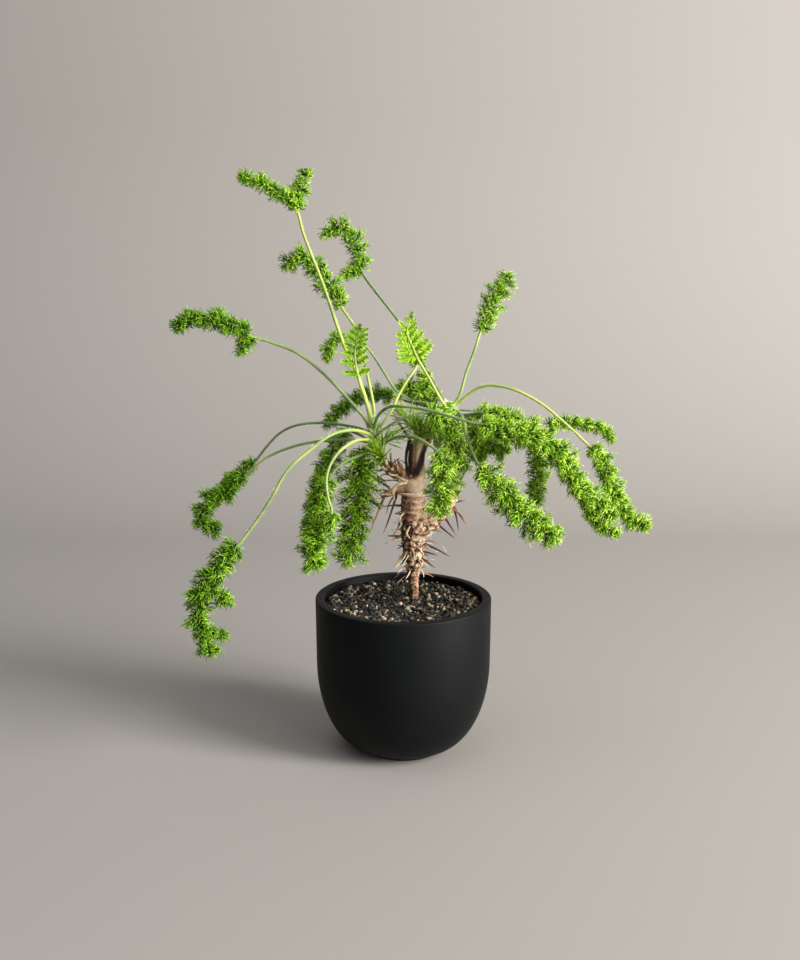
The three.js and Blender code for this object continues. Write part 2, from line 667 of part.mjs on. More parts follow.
// The outer and inner outlines of the pot, from the bottom up, as [radius, height] points.
function potOutline(inset) {
  const outline = [];
  const steps = inset > 0 ? POT_INSIDE_STEPS : POT_ROUND_STEPS;
  for (let step = 0; step <= steps; step += 1) {
    const angle = (Math.PI / 2) * (1 - step / steps);
    const wide = POT_ROUND_RADIUS - POT_ROUND_CENTRE;
    const low = inset > 0 ? POT_FLOOR - POT_WALL + inset : POT_FOOT_HEIGHT;
    const radius = POT_ROUND_CENTRE - inset * 0.5 + (wide - inset * 0.5) * Math.cos(angle);
    outline.push([radius, POT_ROUND_TOP - (POT_ROUND_TOP - low) * Math.sin(angle)]);
  }
  return outline;
}

function pot() {
  const outside = potOutline(0).filter(([radius]) => radius > POT_FOOT_RADIUS + 1);
  const inside = potOutline(POT_WALL).reverse();
  const innerRim = POT_RIM_RADIUS - POT_WALL;
  const profile = [
    [0, 0],
    [POT_FOOT_RADIUS, 0],
    [POT_FOOT_RADIUS + 0.5, POT_FOOT_HEIGHT],
    ...outside,
    [POT_RIM_RADIUS, POT_HEIGHT - POT_RIM_EDGE],
    [POT_RIM_RADIUS - POT_RIM_EDGE, POT_HEIGHT],
    [innerRim + POT_RIM_EDGE, POT_HEIGHT],
    [innerRim, POT_HEIGHT - POT_RIM_EDGE],
    ...inside,
    [0, POT_FLOOR],
  ];
  const shape = new THREE.LatheGeometry(profile.map(([x, y]) => new THREE.Vector2(x, y)), POT_SIDES);
  shape.rotateX(Math.PI / 2);
  let body = solid(shape);
  for (let hole = 0; hole < DRAIN_HOLES; hole += 1) {
    const angle = (hole / DRAIN_HOLES) * 2 * Math.PI;
    const drill = new THREE.CylinderGeometry(DRAIN_RADIUS, DRAIN_RADIUS, POT_FLOOR * 3, DRAIN_SIDES);
    drill.rotateX(Math.PI / 2);
    drill.translate(Math.cos(angle) * DRAIN_CIRCLE, Math.sin(angle) * DRAIN_CIRCLE, 0);
    body = body.subtract(solid(drill));
  }
  return body;
}

// The soil follows the inside of the pot with a small gap, and its top is uneven like loose grit.
function soil() {
  const wall = potOutline(POT_WALL + GAP).filter(([radius]) => radius > 0);
  const topRadius = POT_RIM_RADIUS - POT_WALL - GAP;
  const profile = [[0, POT_FLOOR + GAP], ...wall, [topRadius, SOIL_TOP]];
  for (let ring = SOIL_RINGS; ring >= 1; ring -= 1) {
    profile.push([(topRadius * (ring - 0.35)) / SOIL_RINGS, SOIL_TOP]);
  }
  profile.push([0, SOIL_TOP]);
  const shape = new THREE.LatheGeometry(profile.map(([x, y]) => new THREE.Vector2(x, y)), POT_SIDES);
  shape.rotateX(Math.PI / 2);
  const positions = shape.attributes.position;
  for (let index = 0; index < positions.count; index += 1) {
    const [x, y, z] = [positions.getX(index), positions.getY(index), positions.getZ(index)];
    if (z > SOIL_TOP - GAP && Math.hypot(x, y) < topRadius - 1) {
      const wave = SOIL_WAVES.reduce((sum, [alongX, alongY]) => sum + Math.sin(x * alongX + y * alongY), 0);
      positions.setZ(index, z + (SOIL_BUMP * wave) / SOIL_WAVES.length);
    }
  }
  const holeRadius = STEM_FOOT_RADIUS + HOLE_CLEAR;
  const hole = new THREE.CylinderGeometry(holeRadius, holeRadius, STEM_DEPTH * 2, STEM_SIDES);
  hole.rotateX(Math.PI / 2);
  hole.translate(STEM_FOOT[0], STEM_FOOT[1], SOIL_TOP + GAP);
  return solid(shape).subtract(solid(hole));
}

function stem() {
  const limbs = [
    limb(TRUNK, STEM_SIDES, TRUNK_STEP, BARK_LUMP),
    limb(LEFT_BRANCH, BRANCH_SIDES, TRUNK_STEP, BARK_LUMP),
    limb(MIDDLE_BRANCH, BRANCH_SIDES, BRANCH_STEP, BARK_LUMP),
    limb(SIDE_BRANCH, BRANCH_SIDES, BRANCH_STEP, BARK_LUMP),
    limb(DEAD_TWIG, TWIG_SIDES, TWIG_STEP, BARK_LUMP),
    ...SNAGS.map((snag) => limb(snag, SNAG_SIDES, TWIG_STEP, BARK_LUMP)),
  ];
  let body = solid(limbs[0].skin.geometry());
  for (const piece of limbs.slice(1)) {
    body = body.add(solid(piece.skin.geometry()));
  }
  for (const [root, tip] of DRY_STALKS) {
    body = body.add(spine(vector(root), vector(tip), STALK_RADIUS, [0, 0.5, 1]));
  }
  const trunk = limbs[0].curve;
  const low = (THORN_LOW - TRUNK[0][2]) / (TRUNK[TRUNK.length - 1][2] - TRUNK[0][2]);
  const high = (THORN_HIGH - TRUNK[0][2]) / (TRUNK[TRUNK.length - 1][2] - TRUNK[0][2]);
  for (let thorn = 0; thorn < THORN_COUNT; thorn += 1) {
    const root = trunk.getPointAt(THREE.MathUtils.lerp(low, high, thorn / THORN_COUNT));
    const angle = thorn * GOLDEN_ANGLE;
    const outward = new THREE.Vector3(Math.cos(angle), Math.sin(angle), random(...THORN_SLOPE)).normalize();
    const tip = root.clone().addScaledVector(outward, random(...THORN_REACH));
    body = body.add(spine(root.addScaledVector(outward, THORN_DEPTH), tip, THORN_RADIUS, [0, 1]));
  }
  return body;
}

// A growing tip: a tapering green body with small pointed stipules raised round it.
function shoot(points) {
  const { skin, faces } = limb(points, SHOOT_SIDES, SHOOT_STEP, SHOOT_LUMP);
  const rows = faces.slice(1, -1);
  const upwards = new THREE.Vector3(0, 0, STIPULE_LEAN);
  for (let count = 0; count < STIPULES; count += 1) {
    const row = rows[count % rows.length];
    const face = row[(count * 2) % SHOOT_SIDES][count % 2];
    growFilament(skin, face, upwards, STIPULE_LENGTH);
  }
  return solid(skin.geometry());
}

// The room that a limb or shoot takes up, a little fatter than it is.
// What is rooted in it is cut back to this room, and so keeps a small gap.
function room(points) {
  const curve = curveThrough(points);
  const steps = Math.ceil(curve.getLength() / ROOM_STEP);
  const known = points.map((point, index) => [arcPosition(curve, index), point[3]]);
  const places = Array.from({ length: steps + 1 }, (unused, step) => step / steps);
  const radiusAt = (where) => radiusBetween(known, where) * ROOM_FAT + GAP;
  const stations = stationsAlong(curve, places, radiusAt, LIMB_FACE);
  const last = stations[steps];
  last.middle.addScaledVector(last.along, GAP * 2);
  return solid(tube(stations, ROOM_SIDES, 0).skin.geometry());
}

function cutAway(body, rooms) {
  return rooms.reduce((rest, taken) => rest.subtract(taken), body);
}

function leaf(data) {
  const face = vector(data.face);
  const curve = curveThrough(data.line);
  let body = stretch(curve, arcPosition(curve, data.blade), data.reach, data.stalk, face);
  for (const fork of data.forks ?? []) {
    body = body.add(stretch(curveThrough(fork.line), FORK_BARE, fork.reach, RIB_RADIUS, face));
  }
  return body;
}

// A young leaf: a short stalk with filaments raised from a ball at its end.
function tuft(data) {
  const root = vector(data.root);
  const tip = vector(data.tip);
  const curve = new THREE.CatmullRomCurve3([root, root.clone().lerp(tip, 0.5), tip]);
  const radiusAt = (where) => data.radius * TUFT_SWELL[TUFT_PLACES.indexOf(where)];
  const stations = stationsAlong(curve, TUFT_PLACES, radiusAt, vector(FRONT));
  const { skin, faces } = tube(stations, TUFT_SIDES, 0);
  const along = curve.getTangentAt(1);
  for (let ray = 0; ray < data.rays; ray += 1) {
    const face = faces[1 + (ray % 2)][ray % TUFT_SIDES][Math.floor(ray / TUFT_SIDES) % 2];
    growFilament(skin, face, along, data.length * random(...LENGTH_SPREAD));
  }
  return solid(skin.geometry());
}

const plant = new THREE.Group();

function addPiece(name, body, finish) {
  const mesh = new THREE.Mesh(geometryOf(body), new THREE.MeshStandardMaterial(FINISHES[finish]));
  mesh.name = name;
  plant.add(mesh);
}

addPiece('pot', pot(), 'pot');
addPiece('soil', soil(), 'soil');
addPiece('stem', stem(), 'stem');

for (const data of Object.values(LEAVES)) {
  const curve = curveThrough(data.line);
  placeCurve(curve, arcPosition(curve, data.blade), data.stalk, RIB_RADIUS);
  for (const fork of data.forks ?? []) {
    placeCurve(curveThrough(fork.line), 0, RIB_RADIUS, RIB_RADIUS);
  }
}
const branchRoom = LIMBS.map(room);
const shootRoom = Object.values(SHOOTS).map(room);
for (const [name, points] of Object.entries(SHOOTS)) {
  addPiece(name, cutAway(shoot(points), branchRoom), 'shoot');
}

const rootedIn = [...branchRoom, ...shootRoom];
for (const [name, data] of Object.entries(LEAVES)) {
  addPiece(name, cutAway(leaf(data), rootedIn), 'leaf');
}
for (const [name, data] of Object.entries(TUFTS)) {
  addPiece(name, cutAway(tuft(data), rootedIn), 'leaf');
}

export default plant;
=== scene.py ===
import math
import random
from bisect import bisect_left

import bmesh
import bpy
from mathutils import Matrix, Vector, noise


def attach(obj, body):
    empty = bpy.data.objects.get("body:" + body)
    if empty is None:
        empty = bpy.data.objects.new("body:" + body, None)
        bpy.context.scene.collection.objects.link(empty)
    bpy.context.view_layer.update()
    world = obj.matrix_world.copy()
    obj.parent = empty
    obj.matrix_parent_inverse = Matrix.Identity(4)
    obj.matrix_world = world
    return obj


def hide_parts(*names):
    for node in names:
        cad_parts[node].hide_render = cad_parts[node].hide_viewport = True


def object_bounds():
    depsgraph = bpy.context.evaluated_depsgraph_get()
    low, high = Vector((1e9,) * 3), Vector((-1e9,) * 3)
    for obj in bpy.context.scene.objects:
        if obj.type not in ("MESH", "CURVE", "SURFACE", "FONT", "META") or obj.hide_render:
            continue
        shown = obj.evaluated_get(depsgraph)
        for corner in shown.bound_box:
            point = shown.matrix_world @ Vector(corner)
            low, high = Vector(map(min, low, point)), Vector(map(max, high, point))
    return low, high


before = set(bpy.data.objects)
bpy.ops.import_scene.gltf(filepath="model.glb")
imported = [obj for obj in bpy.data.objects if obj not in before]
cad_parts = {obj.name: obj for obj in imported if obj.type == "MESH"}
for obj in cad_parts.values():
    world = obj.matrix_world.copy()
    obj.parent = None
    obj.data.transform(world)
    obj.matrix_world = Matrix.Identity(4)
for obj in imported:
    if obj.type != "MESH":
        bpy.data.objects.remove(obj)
cad_low, cad_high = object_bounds()

# Shapes are worked out in millimetres, and each piece is scaled to metres when it is made.
MM = 0.001
UP = Vector((0, -0.3, 1))
FRONT = Vector((0, -1, 0.2))
X = Vector((1, 0, 0))
Z = Vector((0, 0, 1))

# Camera: where the photograph was taken from, in metres, and how it looks down.
CAMERA_PLACE = (-0.0020, -0.6234, 0.2889)
CAMERA_DIP = 11.26
CAMERA_LENS = 40.69
SENSOR = 36

# Stage, in metres: how far the floor runs, where it starts to turn up, and how round that turn is.
STAGE_HALF = 4
STAGE_BACK = 0.5
STAGE_ROUND = 0.5
STAGE_COLOUR = (0.29, 0.275, 0.26)

# Lights: name, place and target in metres, width and height in metres, watts and colour.
LIGHTS = [
    ("main_panel", (1.7, -0.95, 1.25), (0, 0, 0.15), (0.72, 0.95), 60, (1.0, 0.97, 0.91)),
    ("low_panel", (2.0, -0.75, 0.5), (0, 0, 0.14), (0.5, 0.5), 46, (1.0, 0.96, 0.9)),
    ("wide_panel", (1.55, -1.3, 0.7), (0, 0, 0.08), (1.4, 1.2), 36, (1.0, 0.98, 0.95)),
    ("top_panel", (-0.3, -0.3, 2.4), (0, 0, 0.14), (1.8, 1.8), 17, (0.96, 0.98, 1.0)),
    ("front_panel", (-0.5, -1.0, 1.4), (0, 0, 0.14), (1.0, 1.0), 2.2, (0.93, 0.97, 1.0)),
]
WORLD_COLOUR = (0.95, 0.97, 1.0, 1)
WORLD_STRENGTH = 0.11

# Pot, as the solid one: rim, wall, round bottom and foot.
RIM_RADIUS = 52.5
POT_HEIGHT = 94
WALL = 5.4
ROUND_TOP = 55
ROUND_RADIUS = 52.2
ROUND_CENTRE = 24
FOOT_RADIUS = 25.5
FOOT_HEIGHT = 2
FLOOR = 8
RIM_EDGE = 0.9
DRAIN_HOLES = 3
DRAIN_RADIUS = 4
DRAIN_CIRCLE = 14
DRAIN_SIDES = 32
POT_SIDES = 160
# How rough the black finish is, from where it shines most to where it shines least.
POT_SHEEN = (0.5, 0.58)

# Grit: the grains that lie on the soil, how they are spread, and the few pale ones among them.
SOIL_TOP = 89
GRAIN_SPREAD = 46.3
GRAIN_COUNT = 1750
GRAIN_KINDS = 10
GRAIN_SIZE = (0.95, 2.3)
GRAIN_POINTS = 14
PALE_GRAIN_EVERY = 90
PALE_GRAIN_TONES = (0.92, 1.0)
STEM_FOOT = Vector((7, 9, 0))
STEM_ROOM = 2.6

# Limbs of wood: points of [x, y, z, radius] along the middle of each.
TRUNK = [
    (7, 9, 68, 2.0), (7, 9, 88, 2.2), (6, 8, 102, 3.2), (6, 8, 108, 4.2), (6, 7, 114, 6.2),
    (6, 6, 122, 6.4), (6, 5, 130, 7.2), (6, 4, 139, 6.9), (6, 3, 147, 7.3), (6, 3, 155, 6.9),
    (6, 3, 162, 7.2), (5, 3, 167, 6.0),
]
LEFT_BRANCH = [(5, 3, 161, 5.2), (-1, 1, 167, 4.4), (-7, 0, 171, 3.7), (-11, 0, 174, 3.2)]
MIDDLE_BRANCH = [
    (7, 4, 162, 6.2), (7, 5, 173, 5.4), (8, 6, 181, 5.0), (11, 7, 187, 4.6), (16, 8, 194, 4.4),
    (20, 8, 199, 4.3),
]
SIDE_BRANCH = [(8, 4, 130, 5.0), (17, 7, 137, 4.4), (22, 9, 142, 3.8), (27, 11, 148, 3.5), (30, 12, 152, 3.2)]
DEAD_TWIG = [(3, 2, 160, 3.4), (-6, -1, 158, 2.4), (-13, -3, 156, 1.5)]
SNAGS = [[(4, 5, 170, 3.2), (3, 4, 179, 2.3), (4, 4, 188, 1.2)], [(9, 6, 174, 3.6), (11, 4, 186, 1.3)]]

# Thin dry sticks and broken scales round the fork: (root, tip, radius).
DRY_STICKS = [
    ((4, 5, 188), (-6, 8, 205), 0.95), ((-5, -1, 168), (-9, -4, 177), 0.7),
    ((-6, -2, 168), (-7, -3, 182), 0.6), ((-4, -2, 167), (-12, -5, 169), 0.7),
    ((3, 0, 170), (-3, -4, 178), 0.5), ((-7, -3, 174), (-2, -5, 179), 0.45),
    ((-1, -2, 165), (-12, -6, 165), 0.7), ((-9, -2, 158), (-15, -6, 160), 0.8),
    ((-7, -3, 157), (-14, -7, 155), 0.7), ((-3, -3, 158), (-10, -8, 146), 0.7),
    ((-12, -2, 172), (-16, -6, 170), 0.6), ((-2, -3, 168), (-6, -7, 173), 0.6),
]
# Pale spines and strands on the lower stem: (root, tip, radius).
PALE_SPINES = [
    ((2, 3, 126), (-9, -1, 130), 0.5), ((2, 2, 121), (-7, -5, 111), 0.55),
    ((2, 3, 114), (-4, -3, 108), 0.5), ((10, 3, 123), (21, -2, 121.5), 0.5),
    ((15, 5, 127), (26, 0, 120), 0.45), ((10, 4, 117), (16, -1, 111), 0.45),
    ((9, 2, 126.5), (18, -1, 126), 0.5), ((11, 0, 143), (16, -5, 127), 0.4),
    ((3, 0, 119), (-1, -7, 114), 0.5), ((9, 0, 112), (12, -6, 107), 0.5),
    ((3, 0, 147), (-6, -7, 133), 0.55), ((6.5, -3, 155), (5.8, -6, 136), 0.4),
    ((4, 3, 109), (1, -3, 105), 0.6), ((9, 1, 131), (19, -5, 134), 0.4), ((4, 0, 124), (6, -9, 118), 0.45),
]
# Curled strips and flakes of papery bark: way points and half width.
PEELS = [
    ([(2, -5, 164), (-2, -8, 164), (-5, -8, 162), (-6, -8, 158), (-5, -7, 154)], 1.15),
    ([(-9, -4, 170), (-7, -5.5, 169), (-4, -5, 168.5)], 0.5),
    ([(-4, -4, 168), (-1, -5.5, 166.5), (3, -5, 165)], 0.55),
    ([(-2, -5, 158), (3, -6, 157.5), (8, -6, 157.5), (12, -4, 158)], 0.6),
    ([(3, 1, 172), (2.4, 0, 177), (3, -0.5, 182)], 0.3),
    ([(12, 1, 164), (13, 1, 170), (12, 2, 175)], 0.6),
    ([(0, -4, 146), (-2, -6, 143), (-1, -7, 139)], 0.7),
    ([(10, -4, 148), (13, -5, 145), (13, -5, 140)], 0.6),
    ([(4, -4, 138), (2, -6, 134), (4, -7, 131)], 0.7),
    ([(9, -4, 132), (12, -4, 129), (10, -5, 126)], 0.6),
]

# Dry leaf stalks: (root, tip) pairs.
DRY_STALKS = [
    ((-10, -2, 158), (-20, -8, 134)), ((-4, 0, 156), (-12, -9, 134)), ((0, 1, 149), (-12, -5, 150)),
    ((1, 1, 143), (-6, -9, 133)), ((1, 4, 131), (-11, -4, 127)), ((2, 5, 129), (-10, 4, 130)),
    ((3, 5, 123), (-6, -5, 113)), ((-8, 0, 160), (-15, 2, 164)), ((29, 11, 148), (40, 9, 133)),
    ((27, 10, 147), (37, 5, 140)), ((29, 11, 149), (33, 6, 132)), ((24, 9, 142), (32, 3, 130)),
    ((19, 7, 138), (31, 5, 128)), ((29, 11, 149), (38, 11, 150)), ((10, 4, 126), (28, 0, 118)),
    ((9, 4, 121), (22, 2, 118)), ((9, 4, 118), (19, -3, 112)), ((10, 1, 150), (16, -7, 143)),
    ((6, 8, 150), (8, 20, 144)), ((2, 8, 140), (-4, 19, 133)), ((10, 8, 135), (16, 19, 128)),
]

# Bark: how finely the limbs are stepped and welded, and the heights of the rings and of the broken top.
LIMB_STEP = 2
BARK_CELL = 0.5
RING_HEIGHTS = (146.4, 149.8, 153.0)
CREAM_RING = 156.4
STUMP_START = 165

# Thorns, scales and strips: how many there are, how far they stand out, and how they taper.
THORN_COUNT = 120
THORN_HEIGHTS = (106, 152)
THORN_REACH = (8.5, 12)
LONG_THORN_REACH = (12, 16)
THORN_WIDTH = (0.4, 0.75)
BRANCH_THORNS = 26
BRANCH_SCALES = 34
SPINE_PARTS = (0, 0.2, 0.4, 0.6, 0.8, 0.97)
SPINE_TAPER = (1, 0.86, 0.72, 0.6, 0.46, 0.2)
SPINE_FACE = Vector((0.1, 0.2, 1))
STRIP_STEPS = 12
STRIP_SIDES = 8
# The turn from each thorn, thread or grain to the next, which spreads them evenly.
GOLDEN_ANGLE = 2.39996

# Growing tips: the body, the stipules round it, and the hairs on it and at its end.
# Hairs are given as (how many to the millimetre, length).
SHOOT_SLIMNESS = 0.85
SHOOT_TONE = 0.45
STIPULES_PER_MM = 1.1
STIPULE_RADII = (1.0, 1.25, 0.8, 0.2)
STIPULE_SIDES = 6
STIPULE_FLATNESS = 0.4
SHOOT_HAIRS = (45, 1.8)
SHOOT_END = 3.5
SHOOT_END_HAIRS = (190, 2.6)

# Growing tips: points of [x, y, z, radius] along the middle of each.
SHOOTS = {
    "shoot_left": [(-11, 0, 174, 3.2), (-15, -1, 182, 3.5), (-17, -2, 191, 3.7), (-18, -3, 199, 3.3),
                   (-18, -3, 203, 1.9)],
    "shoot_top": [(20, 8, 199, 4.3), (24, 8, 203, 4.8), (27, 8, 207, 4.4), (28, 8, 210, 2.6)],
    "shoot_side": [(30, 12, 152, 3.2), (31, 12, 155, 3.3), (32, 13, 159, 2.9), (32, 13, 162, 1.7)],
}

# Leaves, as the solid ones: the way points of each, the way point where its blade begins, the half width of
# the blade, the radius of the stalk, the way that its upper side looks, and its forks.
LEAVES = {
    "leaf_tall": {
        "line": [(-18, -3, 198), (-19, -3, 203), (-27, -5, 229), (-33, -6, 242), (-45, -9, 278),
                 (-55, -12, 305), (-59, -13, 319), (-65, -14, 325), (-76, -16, 331), (-87, -18, 335)],
        "blade": 6, "reach": 5.3, "stalk": 1.5, "face": UP,
        "forks": [
            {"line": [(-58, -13, 317), (-58, -12, 324), (-56, -10, 331), (-53, -8, 340)], "reach": 4.8},
        ],
    },
    "leaf_hook": {
        "line": [(26, 8, 205), (22, 12, 213), (12, 22, 231), (-2, 34, 254), (-26, 45, 286),
                 (-27, 46, 296), (-31, 46, 306), (-39, 45, 311), (-47, 42, 306)],
        "blade": 4, "reach": 6.8, "stalk": 0.95, "face": FRONT,
        "forks": [{"line": [(-25, 45, 284), (-31, 44, 284), (-37, 42, 282)], "reach": 4}],
    },
    "leaf_upright": {
        "line": [(-18, -2, 198), (-17, 1, 204), (-21, 5, 226), (-28, 12, 252), (-36, 16, 264),
                 (-43, 20, 277), (-51, 22, 287), (-62, 24, 293), (-69, 24, 288)],
        "blade": 4, "reach": 7.2, "stalk": 1.1, "face": FRONT,
    },
    "leaf_front_small": {
        "line": [(-18, -4, 196), (-19, -9, 202), (-22, -14, 215), (-25, -18, 226), (-27, -22, 241),
                 (-24, -26, 254)],
        "blade": 3, "reach": 6.5, "stalk": 1, "face": FRONT,
    },
    "leaf_left": {
        "line": [(-18, -3, 195), (-23, -6, 203), (-32, -9, 214), (-46, -11, 229), (-60, -12, 240),
                 (-75, -12, 246), (-87, -13, 250), (-93, -13, 254), (-103, -13, 257), (-117, -13, 259),
                 (-127, -12, 255)],
        "blade": 6, "reach": 7.8, "stalk": 1.1, "face": UP,
        "forks": [{"line": [(-84, -13, 249), (-88, -12, 245), (-92, -12, 240)], "reach": 5}],
    },
    "leaf_low_left": {
        "line": [(-17, -3, 190), (-21, -10, 194), (-29, -18, 197), (-40, -28, 196), (-51, -36, 189),
                 (-63, -42, 179), (-72, -46, 164), (-82, -48, 149), (-91, -50, 138), (-98, -50, 132),
                 (-102, -51, 123), (-110, -51, 116), (-113, -51, 106), (-112, -52, 93), (-108, -52, 78)],
        "blade": 8, "reach": 8, "stalk": 1.2, "face": FRONT,
        "forks": [
            {"line": [(-113, -51, 96), (-107, -50, 89), (-99, -49, 86)], "reach": 4.5},
            {"line": [(-108, -51, 116), (-102, -50, 110), (-96, -49, 105)], "reach": 5},
        ],
    },
    "leaf_mid_left": {
        "line": [(-17, -2, 186), (-23, -1, 188), (-38, 4, 188), (-53, 8, 186), (-65, 10, 183),
                 (-81, 12, 176), (-95, 12, 165), (-104, 12, 157), (-114, 11, 150), (-121, 10, 141),
                 (-119, 10, 134), (-112, 10, 134)],
        "blade": 6, "reach": 8, "stalk": 1.1, "face": UP,
    },
    "leaf_back_left": {
        "line": [(-17, -1, 190), (-21, 4, 193), (-30, 9, 195), (-47, 17, 196), (-63, 23, 194),
                 (-74, 26, 189), (-83, 27, 180), (-91, 28, 170), (-101, 28, 162), (-111, 27, 153),
                 (-117, 26, 144)],
        "blade": 7, "reach": 6, "stalk": 1, "face": UP,
    },
    "leaf_pale": {
        "line": [(26, 6, 205), (21, 1, 213), (15, -2, 224), (8, -4, 236), (5, -5, 243), (2, -6, 251),
                 (4, -6, 259)],
        "blade": 3, "reach": 9, "stalk": 1.1, "face": FRONT,
    },
    "leaf_hanging_front": {
        "line": [(-17, -3, 187), (-20, -10, 190), (-27, -18, 191), (-36, -26, 186), (-41, -30, 179),
                 (-43, -32, 171), (-42, -33, 161), (-40, -34, 153), (-43, -34, 146), (-48, -34, 140),
                 (-52, -34, 132), (-50, -33, 122)],
        "blade": 7, "reach": 7.5, "stalk": 1.2, "face": FRONT,
    },
    "leaf_hanging_middle": {
        "line": [(-15, -2, 182), (-20, -7, 183), (-25, -10, 181), (-32, -15, 179), (-39, -19, 174),
                 (-42, -20, 169), (-47, -20, 157), (-51, -19, 143), (-52, -18, 129), (-49, -17, 119)],
        "blade": 5, "reach": 7, "stalk": 0.9, "face": FRONT,
    },
    "leaf_hanging_back": {
        "line": [(-16, -1, 185), (-21, 4, 188), (-27, 8, 191), (-33, 10, 192), (-40, 9, 183),
                 (-47, 6, 168), (-53, 4, 150), (-56, 3, 132)],
        "blade": 3, "reach": 6.5, "stalk": 1, "face": FRONT,
    },
    "leaf_broad": {
        "line": [(-15, -1, 181), (-20, 0, 185), (-24, 0, 183), (-25, -2, 173), (-25, -4, 160),
                 (-27, -6, 146), (-30, -7, 131), (-34, -7, 117)],
        "blade": 2, "reach": 11, "stalk": 1, "face": FRONT,
    },
    "leaf_back_dark": {
        "line": [(27, 9, 204), (23, 16, 205), (13, 26, 205), (-1, 34, 208), (-7, 36, 210),
                 (-18, 38, 211), (-29, 38, 208), (-39, 37, 201), (-47, 36, 192)],
        "blade": 4, "reach": 5.5, "stalk": 0.9, "face": FRONT,
    },
    "leaf_back_short": {
        "line": [(27, 9, 206), (23, 15, 209), (20, 18, 210), (13, 20, 211), (5, 22, 216), (-2, 23, 217)],
        "blade": 2, "reach": 8, "stalk": 0.9, "face": FRONT,
        "forks": [{"line": [(12, 20, 211), (12, 19, 219), (13, 18, 226)], "reach": 4.5}],
    },
    "leaf_back_small": {
        "line": [(26, 8, 203), (20, 11, 206), (16, 13, 208), (5, 16, 210), (-4, 18, 215), (-12, 18, 227),
                 (-20, 18, 239), (-27, 17, 245), (-34, 14, 247), (-41, 11, 245), (-44, 9, 240),
                 (-44, 8, 234)],
        "blade": 8, "reach": 4, "stalk": 0.8, "face": FRONT,
    },
    "leaf_crossing": {
        "line": [(-17, -2, 193), (-12, -4, 199), (-9, -3, 203), (-6, 0, 207), (-4, 3, 212), (2, 9, 222),
                 (8, 14, 231), (7, 17, 239), (2, 19, 248)],
        "blade": 6, "reach": 6, "stalk": 0.95, "face": FRONT,
    },
    "leaf_top_right": {
        "line": [(28, 9, 206), (33, 12, 213), (37, 16, 226), (42, 19, 239), (46, 22, 251), (52, 24, 264),
                 (56, 25, 274), (62, 26, 281)],
        "blade": 4, "reach": 7.3, "stalk": 1, "face": FRONT,
    },
    "leaf_arch": {
        "line": [(27, 8, 205), (34, 6, 211), (41, 4, 217), (48, 2, 220), (55, 0, 220), (64, -2, 218),
                 (78, -4, 211), (93, -6, 199), (108, -6, 185), (112, -6, 181), (117, -7, 171),
                 (121, -8, 160), (127, -8, 150), (134, -8, 141), (141, -8, 139)],
        "blade": 8, "reach": 7.6, "stalk": 1.1, "face": UP,
    },
    "leaf_back_right": {
        "line": [(26, 9, 203), (33, 14, 204), (46, 20, 202), (58, 26, 197), (74, 32, 193), (89, 36, 193),
                 (102, 38, 193), (110, 39, 192), (119, 40, 190), (125, 40, 188), (129, 40, 182)],
        "blade": 5, "reach": 5, "stalk": 0.7, "face": UP,
    },
    "leaf_long_right": {
        "line": [(-17, -3, 195), (-16, -9, 200), (-14, -12, 205), (-8, -17, 210), (0, -22, 211),
                 (17, -30, 209), (33, -36, 205), (42, -38, 203), (59, -40, 198), (69, -40, 197),
                 (77, -40, 194), (89, -38, 180), (96, -37, 169), (106, -35, 159), (116, -34, 150)],
        "blade": 7, "reach": 10, "stalk": 1.2, "face": UP,
        "forks": [{"line": [(98, -37, 166), (103, -35, 154), (110, -34, 145), (119, -34, 141)], "reach": 5}],
    },
    "leaf_inner_right": {
        "line": [(-17, -3, 189), (-14, -9, 194), (-9, -12, 198), (-1, -14, 203), (4, -16, 205),
                 (10, -17, 207), (14, -17, 207), (21, -14, 203), (27, -10, 195), (31, -7, 184),
                 (32, -5, 173)],
        "blade": 6, "reach": 10, "stalk": 1, "face": FRONT,
    },
    "leaf_front_hanging": {
        "line": [(-15, -2, 182), (-12, -9, 187), (-7, -13, 191), (-3, -17, 193), (1, -21, 194),
                 (7, -26, 194), (12, -30, 192), (19, -34, 187), (22, -35, 178), (22, -34, 166),
                 (19, -32, 153)],
        "blade": 7, "reach": 9.5, "stalk": 1, "face": FRONT,
    },
    "leaf_low_right": {
        "line": [(26, 7, 204), (30, -2, 206), (34, -14, 202), (35, -27, 194), (38, -33, 187),
                 (42, -36, 179), (48, -38, 172), (55, -39, 165), (62, -40, 156), (70, -40, 150),
                 (78, -40, 144), (84, -40, 139)],
        "blade": 5, "reach": 10, "stalk": 1.1, "face": FRONT,
    },
    "leaf_under_right": {
        "line": [(27, 7, 202), (36, 3, 203), (49, -9, 205), (66, -16, 200), (75, -20, 189),
                 (77, -20, 176), (76, -20, 166), (75, -20, 156)],
        "blade": 2, "reach": 7.2, "stalk": 0.9, "face": FRONT,
    },
    "leaf_inner_top": {
        "line": [(27, 8, 202), (34, 7, 201), (41, 7, 202), (48, 6, 203), (59, 5, 200)],
        "blade": 2, "reach": 6, "stalk": 0.9, "face": UP,
        "forks": [{"line": [(36, 6, 200), (41, -1, 192), (45, -6, 180)], "reach": 6}],
    },
    "leaf_side": {
        "line": [(31, 13, 158), (35, 8, 165), (40, 4, 177), (46, 0, 184), (52, -4, 187), (59, -7, 184)],
        "blade": 2, "reach": 9, "stalk": 0.8, "face": FRONT,
    },
}
